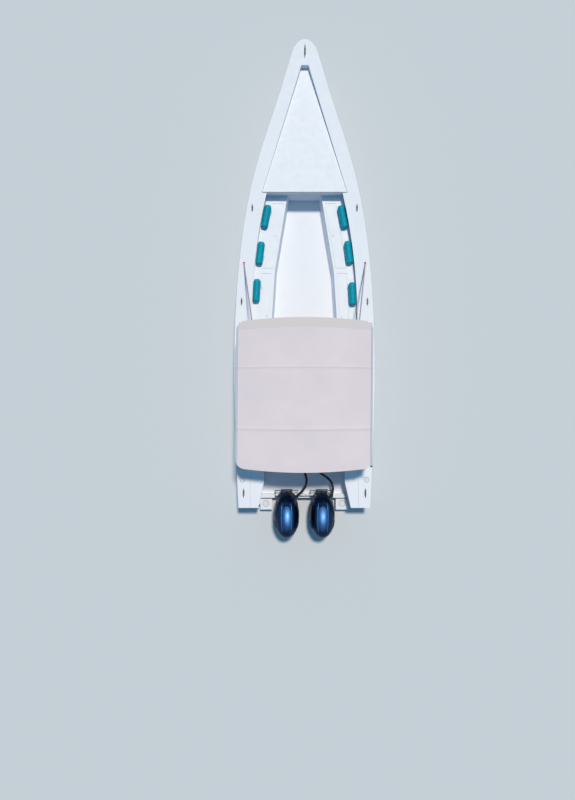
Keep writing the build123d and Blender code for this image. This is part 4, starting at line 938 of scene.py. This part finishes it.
class BOAT_OT_fittings(bpy.types.Operator):
    """Finishes and detail of the cleats, plates, eye, hinges, outlets and latches"""

    bl_idname = "boat.fittings"
    bl_label = "Deck fittings"

    def execute(self, context):
        dress("cleat", "cleats")
        dress("fitting", "bow_eye")
        dress("plate", "deck_plates")
        dress("hinge", "lid_hinges")
        dark_rings()
        outlets()
        latches()
        cleat_screws()
        return {"FINISHED"}


def inflate(obj, voxel, puff, frames=20):
    """Remeshes a cushion, swells it as filled cloth, and caps how far any point moves."""
    scene = bpy.context.scene
    remesh = obj.modifiers.new("remesh", "REMESH")
    remesh.mode = "VOXEL"
    remesh.voxel_size = voxel
    bpy.context.view_layer.update()
    mesh = evaluated(obj)
    obj.modifiers.clear()
    obj.data = mesh
    rest = [v.co.copy() for v in mesh.vertices]
    cloth = obj.modifiers.new("cloth", "CLOTH").settings
    cloth.use_pressure = True
    cloth.uniform_pressure_force = CUSHION_PRESSURE
    cloth.effector_weights.gravity = 0.0
    cloth.quality = 4
    for number in range(1, frames + 1):
        scene.frame_set(number)
    moved = evaluated(obj)
    obj.modifiers.clear()
    for vert, before, after in zip(obj.data.vertices, rest, moved.vertices):
        step = after.co - before
        if step.length > puff:
            step *= puff / step.length
        vert.co = before + step
    scene.frame_set(1)
    bpy.data.meshes.remove(moved)


def seam_loop(mesh, height):
    """The outline of a closed mesh at a height, as points in order."""
    bm = bmesh.new()
    bm.from_mesh(mesh)
    edges = only(bmesh.types.BMEdge, cut(bm, (0, 0, height), UP))
    start = edges[0].verts[0]
    loop, here, used, left = [start.co.copy()], edges[0].verts[1], {edges[0]}, set(edges)
    while here is not start:
        loop.append(here.co.copy())
        onward = [e for e in here.link_edges if e in left and e not in used]
        if not onward:
            break
        used.add(onward[0])
        here = onward[0].other_vert(here)
    bm.free()
    return loop


def padded_form(name, size, radius, margin, sizes):
    """A cushion and its piping about the origin. Each seam runs a margin from a face across Z."""
    shape = rounded_box([s - 2 * sizes.puff * 0.8 for s in size], radius, 4)
    obj = add(name, as_mesh(shape, name))
    inflate(obj, CUSHION_VOXEL, sizes.puff)
    mesh, cords = obj.data, bmesh.new()
    seams = (-size[2] / 2 + margin, size[2] / 2 - margin)
    for vert in mesh.vertices:
        near = min(abs(vert.co.z - at) for at in seams)
        if near < CUSHION_SEAM_REACH:
            pull = CUSHION_SEAM_DEPTH * (1 - near / CUSHION_SEAM_REACH) ** 2
            vert.co -= Vector((vert.co.x, vert.co.y, 0)).normalized() * pull
    for polygon in mesh.polygons:
        polygon.use_smooth = True
    for at in seams:
        merge(piping_along(seam_loop(mesh, at), sizes.piping), cords)
    bpy.data.objects.remove(obj)
    return mesh, cords


class BOAT_OT_cushions(bpy.types.Operator):
    """Filled vinyl bolsters along the coamings and the helm seat cushion"""

    bl_idname = "boat.cushions"
    bl_label = "Cushions"

    def execute(self, context):
        sizes = context.scene.boat_cushions
        thick, long, high = BACKREST_SIZE
        body, cords = padded_form("backrest", (high, long, thick), 0.030, 0.034, sizes)
        parts = (("", body, "vinyl"), ("_piping", as_mesh(cords, "piping"), "piping"))
        # Z is the cushion's thin axis here, and turns to face inboard.
        stand = Matrix(((0, 0, -1), (0, 1, 0), (1, 0, 0))).to_4x4()
        points = node_points("backrests")
        for row, y in enumerate(BACKREST_YS):
            for side, sign in SIDES:
                near = points[(abs(points[:, 1] - y) < 0.3) & (points[:, 0] * sign > 0)]
                middle = (near.max(0) + near.min(0)) / 2
                flat = near[:, :2] - middle[:2]
                _, vectors = np.linalg.eigh(flat.T @ flat)
                along = vectors[:, 1] * (1 if vectors[1, 1] > 0 else -1)
                turn = math.atan2(-along[0], along[1])
                place = Matrix.Translation(middle) @ Matrix.Rotation(turn, 4, "Z")
                place = place @ Matrix.Scale(sign, 4, (1, 0, 0)) @ stand
                for part, source, finish in parts:
                    mesh = source.copy()
                    mesh.transform(place)
                    if place.determinant() < 0:
                        mesh.flip_normals()
                    name = f"backrest_{row + 1}_{side}{part}"
                    piece(name, mesh, finish)
                if not row and sign < 0:
                    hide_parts("backrests")
        low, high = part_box("helm_seat_cushion")
        place = Matrix.Translation((low + high) / 2)
        body, cords = padded_form("helm_cushion", SEAT_SIZE, 0.028, 0.026, sizes)
        body.transform(place)
        move(cords, place)
        seat = piece("helm_cushion", body, "vinyl", replaces=["helm_seat_cushion"])
        piece("helm_cushion_piping", cords, "piping", sharp=180)
        return {"FINISHED"}


def cloth_outline(half, middle_y, half_y):
    """A flat sheet with rounded corners."""
    bm = bmesh.new()
    bmesh.ops.create_grid(bm, x_segments=1, y_segments=1, size=1.0)
    move(bm, Matrix.Translation((0, middle_y, 0)) @ Matrix.Diagonal((half, half_y, 1, 1)))
    bevel(bm, bm.verts[:], AWNING_CORNER, 10, "VERTICES")
    return bm


def divide_cloth(bm, half, middle_y, half_y, seams, hem):
    """Cuts the sheet into a grid, with close pairs of lines where a seam or a hem rises."""
    ys = {middle_y + half_y * (n / 32) for n in range(-31, 32)}
    for seam in seams:
        ys = {y for y in ys if abs(y - seam) > 0.03}
        ys |= {seam - 0.014, seam - 0.012, seam + 0.012, seam + 0.014}
    xs = {half * n / 24 for n in range(-23, 24)}
    xs = {x for x in xs if abs(abs(x) - hem) > 0.02} | {hem, hem - 0.002, -hem, 0.002 - hem}
    cuts = [((0, y, 0), AHEAD) for y in sorted(ys)] + [((x, 0, 0), (1, 0, 0)) for x in sorted(xs)]
    for place, normal in cuts:
        cut(bm, place, normal, dist=1e-6)


def cloth_drop(x, y, sag):
    """How far the cloth hangs under the arch at a place between two bows."""
    behind = max([b for b in BOW_YS if b <= y], default=None)
    ahead = min([b for b in BOW_YS if b > y], default=None)
    if behind is None or ahead is None:
        return 0.0
    part = (y - behind) / (ahead - behind)
    return sag * math.sin(math.pi * part) * (1 - min(1, abs(x) / BOW_END_HALF) ** 3)


class BOAT_OT_awning(bpy.types.Operator):
    """One stretched sheet of cloth over the bows, with sewn seams and hems"""

    bl_idname = "boat.awning"
    bl_label = "Awning cloth"

    def execute(self, context):
        sizes = context.scene.boat_awning
        half, front, rear = AWNING_HALF, AWNING_FRONT_Y, AWNING_REAR_Y
        middle_y, half_y = (front + rear) / 2, (front - rear) / 2 - AWNING_BULGE
        seams, hem = BOW_YS[1:3], half - sizes.hem
        bm = cloth_outline(half, middle_y, half_y)
        divide_cloth(bm, half, middle_y, half_y, seams, hem)
        uv = bm.loops.layers.uv.new("flat")
        for face in bm.faces:
            for loop in face.loops:
                x, y, _ = loop.vert.co
                loop[uv].uv = (ARCH_RADIUS * math.asin(x / ARCH_RADIUS), y)
        for vert in bm.verts:
            x, y, _ = vert.co
            share = (y - middle_y) / half_y
            bowed = AWNING_BULGE * (1 - (x / half) ** 2) * share * abs(share)
            place = x - sizes.shift * (1 - 0.4 * share)
            z = math.sqrt((ARCH_RADIUS + BOW_RADIUS + 0.0006) ** 2 - place**2)
            z += BOW_CROWN - ARCH_RADIUS - cloth_drop(x, y + bowed, sizes.sag)
            z += CLOTH_FOLD * any(abs(y - seam) < 0.013 for seam in seams)
            z += CLOTH_FOLD * (abs(x) > hem - 0.001)
            vert.co = (place, y + bowed, z)
        area = sum(face.calc_area() for face in bm.faces)
        bmesh.ops.recalc_face_normals(bm, faces=bm.faces[:])
        if sum(face.normal.z for face in bm.faces) < 0:
            bmesh.ops.reverse_faces(bm, faces=bm.faces[:])
        bmesh.ops.solidify(bm, geom=bm.faces[:], thickness=-CLOTH_THICKNESS)
        FINISHES["cloth"] = canvas(
            "awning_canvas", tuple(context.scene.boat_look.cloth_colour),
            (middle_y + half_y - sizes.band, tone(220, 212, 212)), (hem - 0.006, tone(176, 190, 206)),
        )
        cloth = piece("awning_sheet", bm, "cloth", replaces=["awning"], sharp=60)
        return {"FINISHED"}


class BOAT_OT_awning_frame(bpy.types.Operator):
    """Finishes, sleeves, end caps, bolts and boots of the awning's tubes"""

    bl_idname = "boat.awning_frame"
    bl_label = "Awning frame"

    sleeve: metres("Sleeves", "Length of the sleeves where bows and rails meet", 0.070, 0.02, 0.2)

    def execute(self, context):
        dress("tube", "awning_bows", "awning_rails")
        dress("leg_tube", "awning_legs", "awning_braces")
        sleeves = heads = boots = ends = None
        for sign in SIGNS:
            for y in (*BOW_YS, *LEG_YS[:2]):
                start = (sign * BOW_END_HALF, y - self.sleeve / 2, BOW_END_HEIGHT - 0.006)
                sleeves = disc(BOW_RADIUS + 0.004, self.sleeve, start, AHEAD, 24, 0.002, sleeves)
            start = (sign * BOW_END_HALF, BOW_YS[-1] - self.sleeve * 0.62, BOW_END_HEIGHT - 0.009)
            ends = disc(BOW_RADIUS + 0.007, 0.034, start, AHEAD, 24, 0.004, ends)
        legs = [(LEG_FOOT_HALF, y) for y in LEG_YS]
        for node, places in (("awning_legs", legs), ("awning_braces", [BRACE_FOOT])):
            skin = surface(node)
            for x, y in places:
                for sign in SIGNS:
                    starts = ring((sign * x, y, 1.06), UP, 0.029, 3)
                    heads = bolts(skin, starts, DOWN, 0.0055, 0.005, heads)
                    foot, _ = touch(skin, starts[0], DOWN)
                    at = (sign * x, y, foot.z + 0.001)
                    boots = disc(0.022, 0.026, at, UP, 24, 0.003, boots, top=0.019)
        piece("awning_sleeves", sleeves, "leg_tube")
        piece("awning_rail_ends", ends, "black")
        piece("awning_foot_bolts", heads, "fitting")
        piece("awning_boots", boots, "seam")
        return {"FINISHED"}


def dash_detail():
    """Instruments, switches and the wheel's cap on the sloping dash."""
    out = Vector((0, -DASH_SLOPE[0], DASH_SLOPE[1]))
    up = Vector((0, DASH_SLOPE[1], DASH_SLOPE[0]))
    lean = Matrix(((1, 0, 0), (0, up.y, out.y), (0, up.z, out.z)))
    middle = Vector((0, *DASH_CENTRE))
    panel = rounded_box((0.60, 0.13, 0.006), 0.0025, 2, middle + up * 0.085 + out * 0.001, lean)
    piece("dash_panel", panel, "black")
    bezels = faces = needles = switches = None
    for x in GAUGE_XS:
        at = middle + up * 0.088 + out * 0.003 + Vector((x, 0, 0))
        bezels = disc(0.040, 0.012, at, out, 40, 0.003, bezels)
        faces = disc(0.034, 0.002, at + out * 0.0112, out, 40, into=faces)
        needle = at + out * 0.0142 + up * 0.010
        needles = rounded_box((0.003, 0.030, 0.0015), 0.0005, 1, needle, lean, needles)
    piece("gauge_bezels", bezels, "fitting")
    piece("gauge_faces", faces, "dial")
    piece("gauge_needles", needles, "rubber")
    for high, tip in ((0.108, -0.14), (0.068, 0.14)):
        for x in steps(0.055, 0.265, 6):
            at = middle + up * high + out * 0.006 + Vector((x, 0, 0))
            turn = lean @ Matrix.Rotation(tip, 3, "X")
            switches = rounded_box((0.024, 0.028, 0.010), 0.003, 2, at, turn, switches)
    piece("switches", switches, "bracket")
    cap = disc(0.030, 0.016, Vector(WHEEL_CENTRE) + out * 0.006, out, 36, 0.005)
    piece("wheel_cap", cap, "bracket", "helm_wheel")


def top_detail():
    """Chart display, compass and the windscreen's top tube."""
    lean = Matrix.Rotation(math.radians(-18), 3, "X")
    foot = (*DISPLAY[:2], CONSOLE_HEIGHT + 0.013)
    case = rounded_box((0.30, 0.030, 0.19), 0.008, 3, DISPLAY, lean)
    case = rounded_box((0.10, 0.050, 0.030), 0.006, 2, foot, into=case)
    piece("display_case", case, "black")
    front = Vector(DISPLAY) + lean @ Vector((0, -0.0155, 0.004))
    glass = rounded_box((0.27, 0.003, 0.155), 0.001, 1, front, lean)
    piece("display_glass", glass, "screen")
    at = Vector((-0.17, 2.20, CONSOLE_HEIGHT - 0.001))
    compass = disc(0.052, 0.022, at, UP, 36, 0.004)
    compass = disc(0.042, 0.030, at + Vector((0, 0, 0.021)), UP, 36, 0.0, compass, top=0.026)
    piece("compass", compass, "screen")
    half, y, high, bend = SCREEN_TUBE
    route = [(-half, y, CONSOLE_HEIGHT), (-half, y, high - bend)]
    for angle in steps(0.2, 1.57, 6):
        route.append((-half + bend - bend * math.cos(angle), y, high - bend + bend * math.sin(angle)))
    route += [(-x, y, z) for x, y, z in reversed(route)]
    piece("screen_tube", sweep([Vector(p) for p in route], 0.009, 14), "tube")


def door_detail():
    """Access doors with latches, on the console and the seat base."""
    doors = latches = None
    for y, z, wide, tall, way in DOORS:
        doors = rounded_box((wide, 0.008, tall), 0.003, 2, (0, y + way * 0.001, z), into=doors)
        latch = (wide / 2 - 0.05, y + way * 0.004, z)
        latches = disc(0.020, 0.006, latch, (0, way, 0), 28, 0.002, latches)
    piece("access_doors", doors, "deck")
    piece("door_latches", latches, "hinge")


class BOAT_OT_helm(bpy.types.Operator):
    """Finishes and detail of the console, wheel, levers and screen"""

    bl_idname = "boat.helm"
    bl_label = "Helm"

    def execute(self, context):
        dress("black", "helm_shaft", "steering_wheel", "throttle")
        dress("clear", "windscreen")
        dash_detail()
        top_detail()
        door_detail()
        return {"FINISHED"}


def around(skin, x0, height, first, last, count, lift=0.0):
    """Points round a cowl at one height. The angle runs from dead ahead, towards starboard."""
    row = []
    for angle in steps(math.radians(first), math.radians(last), count):
        out = Vector((math.sin(angle), 1.3 * math.cos(angle), 0)).normalized()
        start = Vector((x0, COWL_WIDEST_Y, height)) + out * 1.2
        row += traced(skin, [start], -out, lift)
    return row


def cowl_detail(side, x0, ridge_half):
    """Ridges in a paler blue that paints their highlight, seam, trims, air slots, handle and latch on one
    cowl.
    """
    body = f"motor_{side}"
    skin, pan = surface(f"cowl_{side}"), surface(f"lower_cowl_{side}")
    ridges = trims = slots = None
    for sign in SIGNS:
        places = []
        for y in steps(0.03, -0.70, 32):
            off = ridge_half * (1 - 0.30 * ((y - COWL_WIDEST_Y) / 0.4) ** 2)
            places.append((x0 + sign * off, y, 2.0))
        row = traced(skin, places, DOWN, -0.002)
        ridges = sweep(row, 0.009, 12, taper=0.16, into=ridges)
    # The ridges' paler blue paints their highlight.
    piece(f"cowl_ridges_{side}", ridges, "ridge", body, sharp=180)

    seam = piping_along(around(skin, x0, COWL_SEAM_HEIGHT, 0, 354, 60), 0.0055, 0.008)
    piece(f"cowl_seam_{side}", seam, "rubber", body)
    for rise, first, last, count, lift, radius, taper in (
        (0.022, 16, 74, 26, -0.004, 0.017, 0.16), (0.022, -16, -74, 26, -0.004, 0.017, 0.16),
        (0.016, 125, 235, 36, -0.003, 0.009, 0.20),
    ):
        row = around(skin, x0, COWL_SEAM_HEIGHT + rise, first, last, count, lift)
        trims = sweep(row, radius, 12, taper=taper, into=trims)
    piece(f"cowl_trim_{side}", trims, "trim", body, sharp=180)

    for sign in SIGNS:
        rows = [([z] * 12, -0.42, -0.60, -0.001, 0.0075, 0.02) for z in steps(0.885, 0.975, 4)]
        rows.append(([0.735 + 0.05 * n / 39 for n in range(40)], 0.03, -0.70, -0.0015, 0.0045, 0.05))
        for heights, front, rear, lift, radius, taper in rows:
            starts = [(x0 + sign * 0.6, y, z) for y, z in zip(steps(front, rear, len(heights)), heights)]
            row = traced(skin, starts, (-sign, 0, 0), lift)
            slots = sweep(row, radius, 8, taper=taper, into=slots)
    piece(f"cowl_slots_{side}", slots, "black", body, sharp=180)

    arc = around(pan, x0, 0.600, -29, 29, 24, 0.052)
    ends = around(pan, x0, 0.600, -33, 33, 2, -0.004)
    handle = sweep([ends[0], *arc, ends[1]], 0.014, 14)
    latch, _ = touch(pan, (x0, -2.0, 0.615), AHEAD)
    at = latch + Vector((0, -0.003, 0.015))
    handle = rounded_box((0.085, 0.022, 0.055), 0.006, 2, at, into=handle)
    piece(f"cowl_handle_{side}", handle, "black", body)


def leg_detail(side, x0):
    """Water inlets, bolts and anode on one leg."""
    body, skin = f"motor_{side}", surface(f"motor_leg_{side}")
    slots = heads = None
    for sign in SIGNS:
        for y in steps(-0.275, -0.345, 5):
            row = traced(skin, [(x0 + sign * 0.3, y, z) for z in steps(-0.365, -0.430, 5)], (-sign, 0, 0))
            slots = sweep(row, 0.0035, 8, into=slots)
        places = [(x0 + sign * 0.5, y, z) for y, z in LEG_BOLTS]
        heads = bolts(skin, places, (-sign, 0, 0), 0.0085, 0.008, heads)
    piece(f"water_inlets_{side}", slots, "rubber", body)
    piece(f"leg_bolts_{side}", heads, "fitting", body)
    plate, _ = touch(skin, (x0 + 0.020, ANODE_Y, -0.380), UP)
    anode = rounded_box((0.034, 0.120, 0.022), 0.005, 2, (x0, ANODE_Y, plate.z - 0.0105))
    piece(f"anode_{side}", anode, "anode", body)


class BOAT_OT_motors(bpy.types.Operator):
    """Finishes and detail of the motors, brackets and propellers"""

    bl_idname = "boat.motors"
    bl_label = "Motors"

    ridge_half: metres("Ridges", "How far the cowl's ridges stand from its middle", 0.112, 0.03, 0.2)

    def execute(self, context):
        for side, sign in SIDES:
            dress("bracket", f"transom_bracket_{side}", f"swivel_bracket_{side}", f"steering_ram_{side}")
            for finish, node in (
                ("leg", "motor_leg"), ("pan", "lower_cowl"), ("cowl", "cowl"), ("block", "powerhead"),
                ("prop", "propeller"),
            ):
                dress(finish, f"{node}_{side}")
            cowl_detail(side, sign * MOTOR_X, self.ridge_half)
            leg_detail(side, sign * MOTOR_X)
        dress("fitting", "tie_bar")
        return {"FINISHED"}


STEPS = (
    BOAT_OT_stage, BOAT_OT_hoses, BOAT_OT_mouldings, BOAT_OT_fittings, BOAT_OT_cushions,
    BOAT_OT_awning, BOAT_OT_awning_frame, BOAT_OT_helm, BOAT_OT_motors,
)
SETTINGS = (
    ("boat_look", BoatLook), ("boat_awning", AwningSizes),
    ("boat_cushions", CushionSizes), ("boat_stage", StageSizes),
)


class BOAT_PT_sidebar(bpy.types.Panel):
    """Steps and settings of the speedboat"""

    bl_idname = "BOAT_PT_sidebar"
    bl_label = "Speedboat"
    bl_space_type = "VIEW_3D"
    bl_region_type = "UI"
    bl_category = "Speedboat"

    def draw(self, context):
        for name, group in SETTINGS:
            settings = getattr(context.scene, name)
            column = self.layout.column()
            for prop in group.__annotations__:
                column.prop(settings, prop)
        for step in STEPS:
            self.layout.operator(step.bl_idname)


def register():
    for name, group in SETTINGS:
        bpy.utils.register_class(group)
        setattr(bpy.types.Scene, name, PointerProperty(type=group))
    for step in (*STEPS, BOAT_PT_sidebar):
        bpy.utils.register_class(step)


def unregister():
    for step in reversed((*STEPS, BOAT_PT_sidebar)):
        bpy.utils.unregister_class(step)
    for name, group in reversed(SETTINGS):
        delattr(bpy.types.Scene, name)
        bpy.utils.unregister_class(group)


def main():
    register()
    make_finishes()
    for step in STEPS:
        group, name = step.bl_idname.split(".")
        getattr(getattr(bpy.ops, group), name)()


if __name__ == "__main__":
    main()
